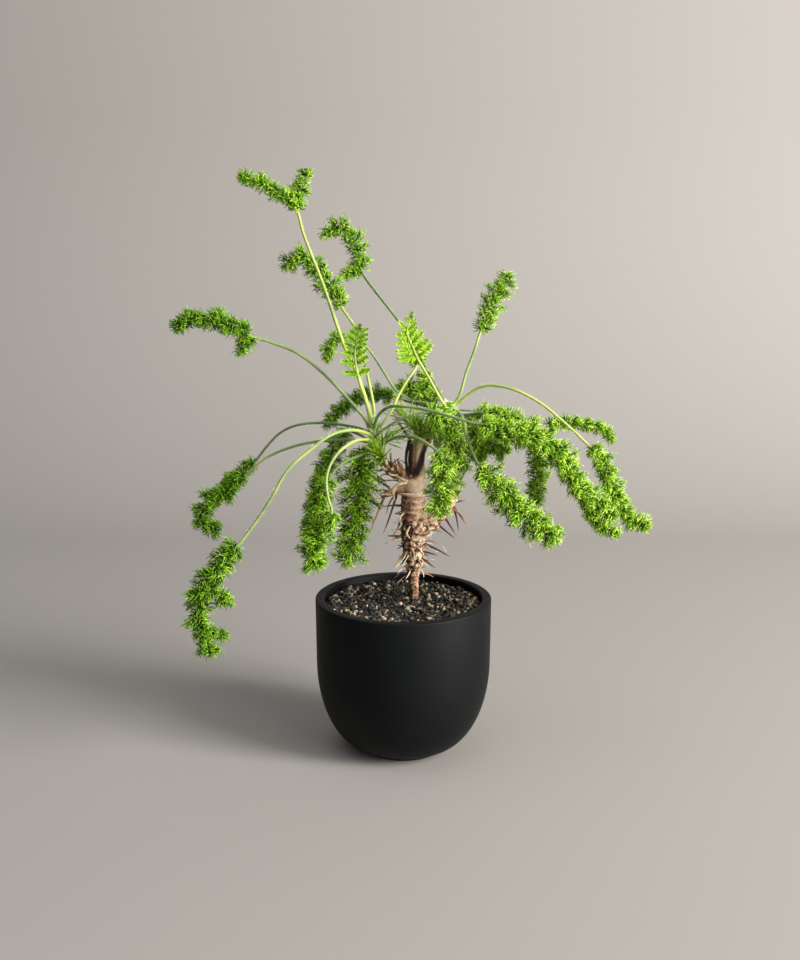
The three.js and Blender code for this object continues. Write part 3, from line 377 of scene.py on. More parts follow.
# Young leaves: whorls of fine threads given as (root, tip, rays, length, spread in degrees).
TUFTS = {
    "tuft_middle": [
        ((10, 1, 187), (9.5, -4, 194.5), 50, 12.5, 98), ((9, 0, 190), (7, -2, 199), 22, 13, 80),
        ((11, 9, 187), (-1, 14, 202), 40, 15, 100), ((14, 4, 190), (20, 0, 196), 40, 12.5, 98),
        ((15, 9, 192), (19, 12, 187), 30, 11.5, 96),
    ],
    "tuft_left": [
        ((-12, -2, 175), (-14, -7, 181), 56, 15, 52), ((-14, -3, 187), (-10, -4, 190), 22, 13.5, 66),
    ],
}
RAY_LEAN = 8
RAY_RADII = (0.28, 0.3, 0.12)
SIDE_THREADS = 6
WHORL_STALK = (0.9, 1.0, 1.2, 1.2, 0.7)

# Blades: the rib, and the leaflets that stand all round it in lumps.
RIB_RADIUS = 0.75
TIP_RADIUS = 0.4
FORK_BARE = 0.05
FORK_SLIMNESS = 0.8
LEAFLET_STEP = 3.7
LEAFLET_FORWARD = 0.3
LEAFLET_REACH = 1.14
LEAFLET_FLATNESS = 0.14
LEAFLET_SIZES = (4.5, 6, 8, 10.5, 13.5)
LEAFLET_LEAST = 0.85
LEAFLET_KINDS = 5
LEAFLET_SWING = 0.45
LEAFLET_TURN = 1.75
LUMP_LENGTH = 8
LUMP_DEPTH = 0.27

# Leaflets: a short axis, and the curled threads that leave it at an angle that closes towards its end.
AXIS_LEAST = 1.2
AXIS_SHORTER = 3.4
AXIS_RADII = (0.4, 0.33, 0.2)
THREADS_LEAST = 8
THREADS_PER_MM = 2.0
THREAD_SPREAD = 97
THREAD_CLOSING = 55
THREAD_FLATNESS = 0.85
THREAD_LENGTH = 6.3
THREAD_GAIN = 0.12
# Tones of each thread: it starts at a random tone and gets lighter to its tip, painted shade at the root and
# a painted highlight at the tip.
THREAD_BASE = (-0.25, 0.32)
THREAD_LIFT = (0.55, 0.88)
THREAD_RADIUS = 0.24
THREAD_LENGTHS = (3.6, 5.2, 6.8)
THREAD_CURLS = (1.7, 2.4, 2.9, 3.4)

# Flat side leaves, on the two pale leaves in front.
PINNA_LENGTH = 8
PINNA_RADII = (0.42, 0.34, 0.2)
PINNA_PAIRS = 12
PINNA_KINDS = 3
PINNA_SEED = 70
PINNA_STEP = 4.4
PINNA_REACH = 1.25
PINNA_END = 0.75
LOBE_LENGTH = 4
LOBE_CURL = 0.8
LOBE_WIDTH = 1.35
LOBE_THICKNESS = 0.9
# How much lighter each lobe gets to its tip: painted shade at its root and a painted highlight at its tip.
LOBE_LIFT = 0.5
# Their outline: the share of the reach at the foot of the blade, how it changes along the blade and with the
# square of the way, and how much the side leaves crowd towards the tip.
FERNS = {"leaf_pale": (0.86, -0.1, -0.5, 1.0), "leaf_front_small": (0.85, 0.5, -0.7, 0.72)}

# Stalks and the hairs on them.
STALK_STEP = 2.5
STALK_SIDES = 8
STALK_SLIMNESS = 0.86
HAIRS_PER_MM = 4
HAIRS_START = 2
HAIRS_PAST = 6
HAIR_LENGTH = 1.3
HAIR_RADIUS = 0.04

# How much farther apart than usual the leaflets of some leaves stand.
LOOSENESS = {
    "leaf_hook": 1.3, "leaf_upright": 1.25, "leaf_left": 1.06, "leaf_tall": 1.15, "leaf_top_right": 1.1,
    "leaf_side": 1.2, "leaf_mid_left": 1.1, "leaf_low_left": 1.08,
}

# How light a stalk is, from 0 for a shaded one to 1 for one in full light.
STALK_TONES = {
    "leaf_long_right": 0.34, "leaf_front_hanging": 0.36, "leaf_inner_right": 0.38, "leaf_under_right": 0.35,
    "leaf_back_right": 0.3, "leaf_back_dark": 0.2, "leaf_back_left": 0.3, "leaf_crossing": 0.58,
    "leaf_tall": 0.58, "leaf_upright": 0.58, "leaf_top_right": 0.46, "leaf_hook": 0.24, "leaf_left": 0.42,
    "leaf_low_left": 0.47, "leaf_hanging_front": 0.54, "leaf_arch": 0.56, "leaf_pale": 0.66,
    "leaf_front_small": 0.55,
}
STALK_TONE = 0.4

# How much lighter than usual the blades of some leaves are, or darker where it is below 0: mostly painted
# light, lighter for the leaves on the lit right and darker for those in shade at the back and left; the two
# pale leaves are darkened only to tone down their paler green.
FROND_LIGHT_AND_TONE = {
    "leaf_long_right": 0.1, "leaf_low_right": 0.12, "leaf_arch": 0.1, "leaf_inner_right": 0.13,
    "leaf_front_hanging": 0.16, "leaf_back_short": 0.18, "leaf_under_right": 0.13, "leaf_inner_top": 0.15,
    "leaf_back_right": 0.04, "leaf_front_small": -0.22, "leaf_pale": -0.05, "leaf_side": 0.12,
    "leaf_upright": 0.02, "leaf_top_right": 0.08, "leaf_hanging_middle": -0.06, "leaf_broad": 0.06,
    "leaf_back_dark": -0.08, "leaf_back_left": -0.1, "leaf_low_left": -0.13, "leaf_left": -0.12,
    "leaf_mid_left": -0.12,
}


# Lines, frames and tubes

class Line:
    """A smooth line through way points that knows how far along it each place is."""

    FINE = 24

    def __init__(self, points):
        steps = (len(points) - 1) * self.FINE
        self.spots = [self.spot(points, step / self.FINE) for step in range(steps + 1)]
        self.run = [0.0]
        for before, after in zip(self.spots, self.spots[1:]):
            self.run.append(self.run[-1] + (after - before).length)
        self.length = self.run[-1]

    @staticmethod
    def spot(points, where):
        """A point of the centripetal curve through the way points; where counts way points."""
        points = [Vector(point) for point in points]
        low = min(int(where), len(points) - 2)
        weight = where - low
        first, second = points[low], points[low + 1]
        before = points[low - 1] if low > 0 else first * 2 - second
        after = points[low + 2] if low + 2 < len(points) else second * 2 - first
        gaps = [math.sqrt((b - a).length) for a, b in ((before, first), (first, second), (second, after))]
        leave = (first - before) / gaps[0] - (second - before) / (gaps[0] + gaps[1])
        leave = (leave + (second - first) / gaps[1]) * gaps[1]
        arrive = (second - first) / gaps[1] - (after - first) / (gaps[1] + gaps[2])
        arrive = (arrive + (after - second) / gaps[2]) * gaps[1]
        bend = -3 * first + 3 * second - 2 * leave - arrive
        twist = 2 * first - 2 * second + leave + arrive
        return first + leave * weight + bend * weight ** 2 + twist * weight ** 3

    def at(self, distance):
        """The point that lies distance along the line."""
        distance = min(max(distance, 0), self.length)
        after = min(max(bisect_left(self.run, distance), 1), len(self.run) - 1)
        span = self.run[after] - self.run[after - 1]
        return self.spots[after - 1].lerp(self.spots[after], (distance - self.run[after - 1]) / span)

    def way(self, index):
        """How far along the line way point number index lies."""
        return self.run[index * self.FINE]


def frame_at(place, along, up):
    """A matrix at a place, with X along a direction and Z as close to up as it can be."""
    along = along.normalized()
    up = (up - along * up.dot(along)).normalized()
    turn = Matrix((along, up.cross(along), up)).transposed()
    return Matrix.Translation(place) @ turn.to_4x4()


def frames_along(points, up):
    """A frame at each point of a path, carried along it without twist."""
    frames = []
    for index, point in enumerate(points):
        along = points[min(index + 1, len(points) - 1)] - points[max(index - 1, 0)]
        frames.append(frame_at(point, along, up))
        up = frames[-1].col[2].to_3d()
    return frames


DISC = Matrix.Rotation(math.pi / 2, 4, "Y")


def pull(bm, frames, radii, sides, pointed=False):
    """Pulls a small disc along frames into a closed tapering tube, with a point at its end if asked."""
    placed = frames[0] @ Matrix.Scale(radii[0], 4)
    disc = bmesh.ops.create_circle(bm, cap_ends=True, segments=sides, radius=1, matrix=placed @ DISC)
    end = disc["verts"][0].link_faces[0]
    for step in range(1, len(frames)):
        if step == 1:
            grown = bmesh.ops.extrude_face_region(bm, geom=[end])["geom"]
            end = next(item for item in grown if isinstance(item, bmesh.types.BMFace))
        else:
            end = bmesh.ops.extrude_discrete_faces(bm, faces=[end])["faces"][0]
        there = frames[step] @ Matrix.Scale(radii[step], 4)
        bmesh.ops.transform(bm, matrix=there @ placed.inverted(), verts=end.verts)
        placed = there
    if pointed:
        bmesh.ops.poke(bm, faces=[end])
    for face in bm.faces:
        face.smooth = True


def across(along, roll):
    """A direction square to another one, turned round it."""
    around = along.orthogonal().normalized()
    around.rotate(Matrix.Rotation(roll, 3, along))
    return around


def ways_at(line, distance, roll):
    """At a place on a line, the direction along it and one across it."""
    along = (line.at(distance + 0.5) - line.at(distance - 0.5)).normalized()
    return along, across(along, roll)


def flatten_rings(bm, frames, sides, share):
    """Flattens a fresh tube across each of its frames."""
    flat = Matrix.Diagonal((1, 1, share, 1))
    bm.verts.ensure_lookup_table()
    for step, at in enumerate(frames):
        ring = bm.verts[sides * step:sides * (step + 1)]
        bmesh.ops.transform(bm, matrix=at @ flat @ at.inverted(), verts=ring)


def mesh_of(bm, name, finish=0):
    """Turns a bmesh into a mesh whose faces all have one finish."""
    for face in bm.faces:
        face.material_index = finish
    mesh = bpy.data.meshes.new(name)
    bm.to_mesh(mesh)
    bm.free()
    return mesh


def toned_bmesh():
    """An empty bmesh whose points carry a tone."""
    bm = bmesh.new()
    bm.verts.layers.float.new("tone")
    return bm


def set_tones(bm, tone_at):
    """Sets the tone of every point from its place."""
    tone = bm.verts.layers.float["tone"]
    for vert in bm.verts:
        vert[tone] = tone_at(vert.co)


def copy_into(bm, mesh, matrix, base=0.0, lift=1.0):
    """Adds a copy of a small mesh, moved by a matrix, with tones that rise from base by lift."""
    copy = mesh.copy()
    if (base, lift) != (0.0, 1.0):
        for item in copy.attributes["tone"].data:
            item.value = base + lift * item.value
    copy.transform(matrix)
    pour_into(bm, copy)


def pour_into(bm, mesh):
    """Adds a mesh to a bmesh and removes the mesh."""
    bm.from_mesh(mesh)
    bpy.data.meshes.remove(mesh)


def held_in_box(bm):
    """Keeps what stands out of the CAD box at its faces, in millimetres."""
    low, high = cad_low / MM, cad_high / MM
    for vert in bm.verts:
        vert.co = Vector(min(max(value, low[axis]), high[axis]) for axis, value in enumerate(vert.co))


def object_of(name, data):
    """An object that holds some data, in the scene."""
    thing = bpy.data.objects.new(name, data)
    bpy.context.scene.collection.objects.link(thing)
    return thing


def applied(thing, *helpers):
    """A bmesh of an object with its modifiers applied; the object and its helpers are removed."""
    done = bpy.data.meshes.new_from_object(thing.evaluated_get(bpy.context.evaluated_depsgraph_get()))
    for item in (thing, *helpers):
        mesh = item.data
        bpy.data.objects.remove(item)
        bpy.data.meshes.remove(mesh)
    grown = bmesh.new()
    pour_into(grown, done)
    return grown


def make_piece(bm, name, finishes, nodes=()):
    """Makes an object of a bmesh in millimetres, which rides on the part and stands for some of its nodes."""
    held_in_box(bm)
    bmesh.ops.scale(bm, vec=(MM, MM, MM), verts=bm.verts)
    mesh = bpy.data.meshes.new(name)
    bm.to_mesh(mesh)
    bm.free()
    for finish in finishes:
        mesh.materials.append(finish)
    piece = object_of(name, mesh)
    if nodes:
        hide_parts(*nodes)
    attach(piece, "root")
    return piece


# Materials

def new_material(name):
    """A material with an empty shader, and the means to add nodes to it."""
    material = bpy.data.materials.new(name)
    material.use_nodes = True
    nodes = material.node_tree.nodes
    return material, nodes, material.node_tree.links, nodes["Principled BSDF"]


def object_place(nodes):
    """The place on a piece, in metres."""
    return nodes.new("ShaderNodeTexCoord").outputs["Object"]


def noise_of(nodes, links, scale, detail=3.0, roughness=0.55):
    """A noise of so many waves to the metre on Object coordinates."""
    texture = nodes.new("ShaderNodeTexNoise")
    texture.inputs["Scale"].default_value = scale
    texture.inputs["Detail"].default_value = detail
    texture.inputs["Roughness"].default_value = roughness
    links.new(object_place(nodes), texture.inputs["Vector"])
    return texture.outputs["Fac"]


def ramp_of(nodes, links, value, stops):
    """A colour ramp over a value; stops are (place, colour) pairs."""
    ramp = nodes.new("ShaderNodeValToRGB")
    elements = ramp.color_ramp.elements
    while len(elements) < len(stops):
        elements.new(0.5)
    for element, (place, colour) in zip(elements, stops):
        element.position = place
        element.color = (*colour, 1)
    links.new(value, ramp.inputs["Fac"])
    return ramp.outputs["Color"]


def sum_of(nodes, links, first, second, share, start=0.0):
    """start + first + second times share, held between 0 and 1."""
    scaled = nodes.new("ShaderNodeMath")
    scaled.operation = "MULTIPLY_ADD"
    links.new(second, scaled.inputs[0])
    scaled.inputs[1].default_value = share
    scaled.inputs[2].default_value = start
    total = nodes.new("ShaderNodeMath")
    total.operation = "ADD"
    total.use_clamp = True
    links.new(first, total.inputs[0])
    links.new(scaled.outputs[0], total.inputs[1])
    return total.outputs[0]


def attribute_of(nodes, name):
    """A number that a piece carries at each of its points."""
    attribute = nodes.new("ShaderNodeAttribute")
    attribute.attribute_name = name
    return attribute.outputs["Fac"]


def bump_on(nodes, links, shader, height, strength, distance):
    """Gives a shader the fine relief of a height."""
    bump = nodes.new("ShaderNodeBump")
    bump.inputs["Strength"].default_value = strength
    bump.inputs["Distance"].default_value = distance
    links.new(height, bump.inputs["Height"])
    links.new(bump.outputs["Normal"], shader.inputs["Normal"])


def mottled(name, stops, roughness, cloud, relief=None, carried=None, share=1.0):
    """A finish with a colour ramp over a noise, or over a number that the piece carries and a share of noise.

    cloud gives the noise by its waves to the metre, detail and roughness. relief gives another such noise for
    the bumps, with their strength and their height in metres.
    """
    material, nodes, links, shader = new_material(name)
    value = noise_of(nodes, links, *cloud)
    if carried:
        value = sum_of(nodes, links, attribute_of(nodes, carried), value, share, -share / 2)
    links.new(ramp_of(nodes, links, value, stops), shader.inputs["Base Color"])
    shader.inputs["Roughness"].default_value = roughness
    if relief:
        waves, strength, height = relief
        bump_on(nodes, links, shader, noise_of(nodes, links, *waves), strength, height)
    return material, shader


def thread_green(name, shadow, body, light, tip):
    """Leaf green with painted light: dark at the root of each thread, where it lies in the shade of the
    leaflet, and light at its tip as a painted highlight.
    """
    stops = [(0.0, shadow), (0.35, body), (0.75, light), (1.0, tip)]
    material, shader = mottled(name, stops, 0.5, (130, 2), carried="tone", share=0.7)
    shader.inputs["Specular IOR Level"].default_value = 0.2
    return material


def stalk_green():
    """Stalks: each has its own tone, from a shaded grey green to a lit yellow green, with fine unevenness."""
    material, shader = mottled("stalk_green", [
        (0.0, (0.055, 0.090, 0.032)), (0.35, (0.145, 0.225, 0.075)), (0.65, (0.38, 0.46, 0.09)),
        (1.0, (0.68, 0.70, 0.17)),
    ], 0.45, (60, 3), ((1500, 2), 0.3, 0.0003), "tone", 0.7)
    shader.inputs["Specular IOR Level"].default_value = 0.3
    return material


def hair_white():
    """White hairs with a touch of green."""
    return mottled("hair_white", [(0.3, (0.62, 0.68, 0.50)), (0.7, (0.86, 0.88, 0.78))], 0.6, (200, 1))[0]


def bark_brown():
    """Bark: dark in its hollows, red brown on its flanks and tan to cream where it stands out, with painted
    light that makes its right side lighter and its left side darker.
    """
    return mottled("bark_brown", [
        (0.0, (0.014, 0.008, 0.006)), (0.22, (0.075, 0.034, 0.022)), (0.45, (0.25, 0.115, 0.062)),
        (0.68, (0.54, 0.32, 0.19)), (0.85, (0.76, 0.52, 0.34)), (1.0, (0.92, 0.76, 0.58)),
    ], 0.78, (420, 5, 0.7), ((900, 5, 0.65), 0.7, 0.0006), "bark_tone_and_light", 0.6)[0]


def dry_brown():
    """Dry spines: dark brown with tan and cream stretches."""
    return mottled("dry_brown", [
        (0.0, (0.035, 0.018, 0.012)), (0.4, (0.13, 0.065, 0.038)), (0.62, (0.50, 0.25, 0.11)),
        (0.85, (0.68, 0.50, 0.33)), (1.0, (0.88, 0.80, 0.64)),
    ], 0.65, (160, 3), ((1800, 3), 0.4, 0.0003), "tone", 0.9)[0]


def peel_cream():
    """Papery bark that has peeled: cream edges and tan middles."""
    return mottled("peel_cream", [
        (0.25, (0.50, 0.28, 0.13)), (0.42, (0.80, 0.58, 0.34)), (0.62, (0.95, 0.86, 0.64)),
    ], 0.6, (300, 4, 0.7), ((1500, 4), 0.4, 0.0003))[0]


def shoot_green():
    """Green of the growing tips: each stipule has its own tone and is paler at its point."""
    material, shader = mottled("shoot_green", [
        (0.0, (0.06, 0.10, 0.02)), (0.35, (0.17, 0.29, 0.045)), (0.65, (0.40, 0.52, 0.12)),
        (1.0, (0.72, 0.78, 0.42)),
    ], 0.6, (320, 4, 0.6), ((1400, 3), 0.5, 0.0004), "tone", 0.7)
    shader.inputs["Sheen Weight"].default_value = 0.5
    return material


def grain_colours():
    """Grit: each grain has its own tone, from near black through grey brown to tan, orange and cream."""
    return mottled("grit_grains", [
        (0.0, (0.004, 0.0035, 0.003)), (0.3, (0.024, 0.020, 0.015)), (0.6, (0.085, 0.071, 0.052)),
        (0.84, (0.34, 0.28, 0.20)), (0.93, (0.36, 0.23, 0.11)), (1.0, (0.62, 0.55, 0.42)),
    ], 0.9, (1400, 4, 0.7), ((1900, 4, 0.7), 0.8, 0.0005), "tone", 0.16)[0]


def soil_dark():
    """Dark soil, which shows between the grains; it is near black, partly its own colour and partly painted
    shade in the gaps between the grains.
    """
    return mottled("soil_dark", [
        (0.3, (0.006, 0.005, 0.004)), (0.55, (0.022, 0.018, 0.014)), (0.8, (0.07, 0.057, 0.044)),
    ], 0.95, (700, 4, 0.7), ((600, 4, 0.7), 1.0, 0.0012))[0]


def pot_black():
    """Matt black finish with a faint blue grey bloom, a very fine tooth and an uneven sheen."""
    stops = [(0.3, (0.0012, 0.0017, 0.0021)), (0.7, (0.0024, 0.0031, 0.0036))]
    low_sheen, high_sheen = POT_SHEEN
    material, shader = mottled("pot_black", stops, low_sheen, (25, 4, 0.6), ((2600, 3), 0.1, 0.0002))
    nodes, links = material.node_tree.nodes, material.node_tree.links
    rough = nodes.new("ShaderNodeMapRange")
    rough.inputs["To Min"].default_value = low_sheen
    rough.inputs["To Max"].default_value = high_sheen
    links.new(noise_of(nodes, links, 90, 5, 0.7), rough.inputs["Value"])
    links.new(rough.outputs["Result"], shader.inputs["Roughness"])
    shader.inputs["Specular IOR Level"].default_value = 0.13
    return material


def plain_stage(name, colour):
    """A plain matt paint."""
    material, nodes, links, shader = new_material(name)
    shader.inputs["Base Color"].default_value = (*colour, 1)
    shader.inputs["Roughness"].default_value = 0.8
    return material


LEAF_GREEN = thread_green("leaf_green", (0.030, 0.105, 0.002), (0.130, 0.320, 0.006), (0.38, 0.61, 0.03),
                          (0.64, 0.78, 0.20))
PALE_GREEN = thread_green("leaf_pale_green", (0.16, 0.33, 0.01), (0.33, 0.56, 0.03), (0.56, 0.76, 0.08),
                          (0.78, 0.92, 0.25))
STALK_GREEN = stalk_green()
HAIR_WHITE = hair_white()


# Threads and leaflets

def thread_mesh(length, curl):
    """A slim thread that starts along X and curls up towards Z to a point; its tone runs from 0 to 1, from
    painted shade at the root to a painted highlight at the tip.
    """
    bm = bmesh.new()
    marks = (0, 0.34, 0.7, 1)
    spots = [Vector((math.sin(curl * mark), 0, 1 - math.cos(curl * mark))) * length / curl for mark in marks]
    frames = [frame_at(spot, Vector((math.cos(curl * mark), 0, math.sin(curl * mark))), Z.lerp(-X, mark))
              for spot, mark in zip(spots, marks)]
    pull(bm, frames, [THREAD_RADIUS * share for share in (0.85, 1.1, 0.95, 0.2)], 3)
    tone = bm.verts.layers.float.new("tone")
    bm.verts.ensure_lookup_table()
    for index, vert in enumerate(bm.verts):
        vert[tone] = marks[index // 3]
    bmesh.ops.pointmerge(bm, verts=bm.verts[-3:], merge_co=spots[-1])
    return mesh_of(bm, f"thread_{length}_{curl}")


THREADS = {size: [thread_mesh(size, curl) for curl in THREAD_CURLS] for size in THREAD_LENGTHS}


def grow_thread(bm, chance, root, direction, up, length, base, lift):
    """Adds one thread that leaves the root in a direction and curls towards up, its tone rising from base."""
    size = min(THREAD_LENGTHS, key=lambda known: abs(known - length))
    place = frame_at(root, direction, up) @ Matrix.Scale(length / size, 4)
    copy_into(bm, chance.choice(THREADS[size]), place, base, lift)


def arched(length, arch):
    """The axis of a leaflet along X, which rises towards its end: the point at a part of the way."""
    return lambda part: Vector((length * part, 0, length * arch * part * part))


def leaflet_mesh(reach, kind):
    """A leaflet along X, reach long with its threads, which curl out all round a short curved axis."""
    chance = random.Random(int(reach * 100) + kind)
    bm = toned_bmesh()
    axis = arched(max(AXIS_LEAST, reach - AXIS_SHORTER), chance.uniform(0.05, 0.25))
    sway = chance.choice((-1, 1)) * chance.uniform(0.3, 0.9)
    pull(bm, frames_along([axis(0), axis(0.5), axis(1)], Z), AXIS_RADII, 4, pointed=True)
    count = round(THREADS_LEAST + THREADS_PER_MM * reach)
    for thread in range(count):
        part = min(max((thread + 0.5 + chance.uniform(-0.3, 0.3)) / count, 0.05), 1)
        along = (axis(part + 0.05) - axis(part - 0.05)).normalized()
        roll = thread * GOLDEN_ANGLE + chance.uniform(-0.3, 0.3)
        around = Vector((0, 1, 0)) * math.cos(roll) + Z * math.sin(roll) * THREAD_FLATNESS
        spread = math.radians(THREAD_SPREAD - THREAD_CLOSING * part ** 1.5 + chance.uniform(-10, 10))
        direction = along * math.cos(spread) + around * math.sin(spread)
        bend = along * 0.8 + around.cross(along) * (sway + chance.uniform(-0.35, 0.35))
        bend -= around * (0.15 + 0.5 * part)
        wanted = (THREAD_LENGTH + THREAD_GAIN * reach) * (1 - 0.15 * part ** 2) * chance.uniform(0.82, 1.15)
        base = chance.uniform(*THREAD_BASE)
        lift = chance.uniform(*THREAD_LIFT)
        grow_thread(bm, chance, axis(part), direction, bend, wanted, base, lift)
    return mesh_of(bm, f"leaflet_{reach}_{kind}")


LEAFLETS = {size: [leaflet_mesh(size, kind) for kind in range(LEAFLET_KINDS)] for size in LEAFLET_SIZES}


def leaflet_share(part):
    """How long the leaflets are along the blade: shorter at its start and towards its tip."""
    return min(1, 0.8 + part * 1.2) * (1 - 0.3 * part * part)


def fill_blade(bm, chance, line, start, reach, face, looseness):
    """Sets leaflets all round a rib, longest at its two sides, in lumps."""
    length = line.length - start
    count = max(3, round(length / (LEAFLET_STEP * looseness)))
    points = [line.at(start + length * (step + 0.3) / count) for step in range(count)]
    frames = frames_along(points, face)
    phase = chance.uniform(0, 2 * math.pi)
    for step, at in enumerate(frames):
        part = step / count
        along, side, up = (at.col[axis].to_3d() for axis in range(3))
        lump = 1 + LUMP_DEPTH * looseness * math.sin(phase + 2 * math.pi * length * part / LUMP_LENGTH)
        wanted = reach * leaflet_share(part) * LEAFLET_REACH * lump
        turn = LEAFLET_SWING * looseness * math.sin(step * LEAFLET_TURN)
        rolls = ((turn, 1), (math.pi - turn, 1), (math.pi / 2 + 1.4 * turn, 1), (-math.pi / 2 - turn, 0.8))
        for roll, share in rolls:
            roll += chance.uniform(-0.2, 0.2)
            flat = 1 - LEAFLET_FLATNESS * math.sin(roll) ** 2
            size = max(wanted * flat * share * chance.uniform(0.88, 1.1), LEAFLET_SIZES[0] * LEAFLET_LEAST)
            known = min(LEAFLET_SIZES, key=lambda one: abs(one - size))
            outward = side * math.cos(roll) + up * math.sin(roll)
            direction = outward + along * (LEAFLET_FORWARD + chance.uniform(-0.2, 0.25))
            roof = along * 0.5 + up * 0.6 + side * chance.uniform(-0.4, 0.4)
            place = frame_at(at.translation, direction, roof) @ Matrix.Scale(size / known, 4)
            copy_into(bm, chance.choice(LEAFLETS[known]), place)
    end = frame_at(line.at(line.length - 1), line.at(line.length) - line.at(line.length - 2), face)
    copy_into(bm, LEAFLETS[LEAFLET_SIZES[0]][0], end @ Matrix.Scale(min(1, reach / 6), 4))


def pinna_mesh(kind):
    """A flat side leaf along X, PINNA_LENGTH long: short broad lobes on both sides of its own rib."""
    chance = random.Random(kind + PINNA_SEED)
    bm = toned_bmesh()
    axis = arched(PINNA_LENGTH, chance.uniform(0.1, 0.22))
    pull(bm, frames_along([axis(0), axis(0.5), axis(1)], Z), PINNA_RADII, 4, pointed=True)
    for pair in range(PINNA_PAIRS):
        part = 0.08 + 0.9 * pair / (PINNA_PAIRS - 1)
        for way in (-1, 1):
            spread = math.radians(72 - 36 * part + chance.uniform(-10, 10))
            direction = X * math.cos(spread) + Vector((0, way, chance.uniform(-0.5, 0.5))) * math.sin(spread)
            length = 4.2 * (1 - 0.9 * abs(part - 0.35)) * chance.uniform(0.85, 1.1)
            base = chance.uniform(0.1, 0.4)
            roof = Z + Vector((0, chance.uniform(-0.3, 0.3), 0))
            shape = Matrix.Diagonal((length / LOBE_LENGTH, LOBE_WIDTH, LOBE_THICKNESS, 1))
            copy_into(bm, LOBE, frame_at(axis(part), direction, roof) @ shape, base, LOBE_LIFT)
    return mesh_of(bm, f"pinna_{kind}")


LOBE = thread_mesh(LOBE_LENGTH, LOBE_CURL)
PINNAE = [pinna_mesh(kind) for kind in range(PINNA_KINDS)]


def fill_fern(bm, chance, line, start, reach, face, outline):
    """Sets side leaves in pairs along a rib, one layer to the front and a shorter one behind."""
    length = line.length - start
    count = max(3, round(length / PINNA_STEP))
    foot, slope, curve, crowding = outline
    parts = [((step + 0.3) / count) ** crowding for step in range(count)]
    frames = frames_along([line.at(start + length * part) for part in parts], face)
    for part, at in zip(parts, frames):
        along, side, up = (at.col[axis].to_3d() for axis in range(3))
        wanted = reach * (foot + slope * part + curve * part * part)
        for way in (-1, 1):
            for lean, rise, share in ((0.15 + 0.8 * part, -0.05, 1), (0.6 * part, -0.8, 0.75)):
                direction = side * way + along * (lean + chance.uniform(-0.12, 0.12)) + up * rise
                place = frame_at(at.translation, direction, up + along * 0.2)
                size = wanted * share * chance.uniform(0.9, 1.1) * PINNA_REACH / PINNA_LENGTH
                copy_into(bm, chance.choice(PINNAE), place @ Matrix.Scale(size, 4))
    end = frame_at(line.at(line.length - 2.5), line.at(line.length) - line.at(line.length - 2), face)
    copy_into(bm, PINNAE[0], end @ Matrix.Scale(PINNA_END, 4))


def hair_mesh():
    """A fine straight hair, 1 long along X."""
    bm = toned_bmesh()
    disc = bmesh.ops.create_circle(bm, cap_ends=True, segments=3, radius=HAIR_RADIUS, matrix=DISC)
    grown = bmesh.ops.extrude_face_region(bm, geom=[disc["verts"][0].link_faces[0]])["geom"]
    end = next(item for item in grown if isinstance(item, bmesh.types.BMFace))
    bmesh.ops.translate(bm, vec=(1, 0, 0), verts=end.verts)
    bmesh.ops.pointmerge(bm, verts=end.verts, merge_co=(1, 0, 0))
    return mesh_of(bm, "hair", 2)


HAIR = hair_mesh()


def grow_hairs(bm, chance, line, start, end, radius_at, per_mm, length):
    """Sets fine hairs on a stalk or shoot, standing out all round it."""
    for _ in range(int((end - start) * per_mm)):
        distance = chance.uniform(start, end)
        along, around = ways_at(line, distance, chance.uniform(0, 2 * math.pi))
        root = line.at(distance) + around * radius_at(distance) * 0.95
        direction = around + along * chance.uniform(-0.3, 0.5)
        size = length * chance.uniform(0.6, 1.2)
        copy_into(bm, HAIR, frame_at(root, direction, along) @ Matrix.Diagonal((size, 1, 1, 1)))


def stalk_mesh(line, radius_at, face, shade):
    """The stalk and rib of a leaf as one tapering tube."""
    steps = max(4, round(line.length / STALK_STEP))
    distances = [line.length * step / steps for step in range(steps + 1)]
    bm = toned_bmesh()
    frames = frames_along([line.at(distance) for distance in distances], face)
    pull(bm, frames, [radius_at(distance) for distance in distances], STALK_SIDES, pointed=True)
    set_tones(bm, lambda place: shade)
    return mesh_of(bm, "stalk", 1)


def make_leaf(name, data):
    """A leaf: a hairy stalk that runs on as the rib of a feathery blade."""
    chance = random.Random(name)
    face = data["face"]
    line = Line(data["line"])
    start = line.way(data["blade"])
    stalk = data["stalk"] * STALK_SLIMNESS
    rib = min(stalk, RIB_RADIUS)
    shade = STALK_TONES.get(name, STALK_TONE)
    looseness = LOOSENESS.get(name, 1)
    forks = [(Line(fork["line"]), fork["reach"]) for fork in data.get("forks", [])]

    def radius_at(distance):
        """The stalk tapers to the rib, and the rib to its tip."""
        if distance < start:
            return stalk + (rib - stalk) * distance / start
        return rib + (TIP_RADIUS - rib) * (distance - start) / (line.length - start)

    bm = toned_bmesh()
    if name in FERNS:
        fill_fern(bm, chance, line, start, data["reach"], face, FERNS[name])
    else:
        fill_blade(bm, chance, line, start, data["reach"], face, looseness)
    for branch, reach in forks:
        fill_blade(bm, chance, branch, branch.length * FORK_BARE, reach, face, looseness)
    # Painted light: the whole blade is made lighter or darker as the leaf stands in light or in shade.
    tone = bm.verts.layers.float["tone"]
    for vert in bm.verts:
        vert[tone] += FROND_LIGHT_AND_TONE.get(name, 0)
    pour_into(bm, stalk_mesh(line, radius_at, face, shade))
    for branch, _ in forks:
        pour_into(bm, stalk_mesh(branch, lambda distance: RIB_RADIUS * FORK_SLIMNESS, face, shade))
    grow_hairs(bm, chance, line, HAIRS_START, start + HAIRS_PAST, radius_at, HAIRS_PER_MM, HAIR_LENGTH)
    green = PALE_GREEN if name in FERNS else LEAF_GREEN
    return make_piece(bm, name.replace("leaf_", "frond_"), [green, STALK_GREEN, HAIR_WHITE], [name])


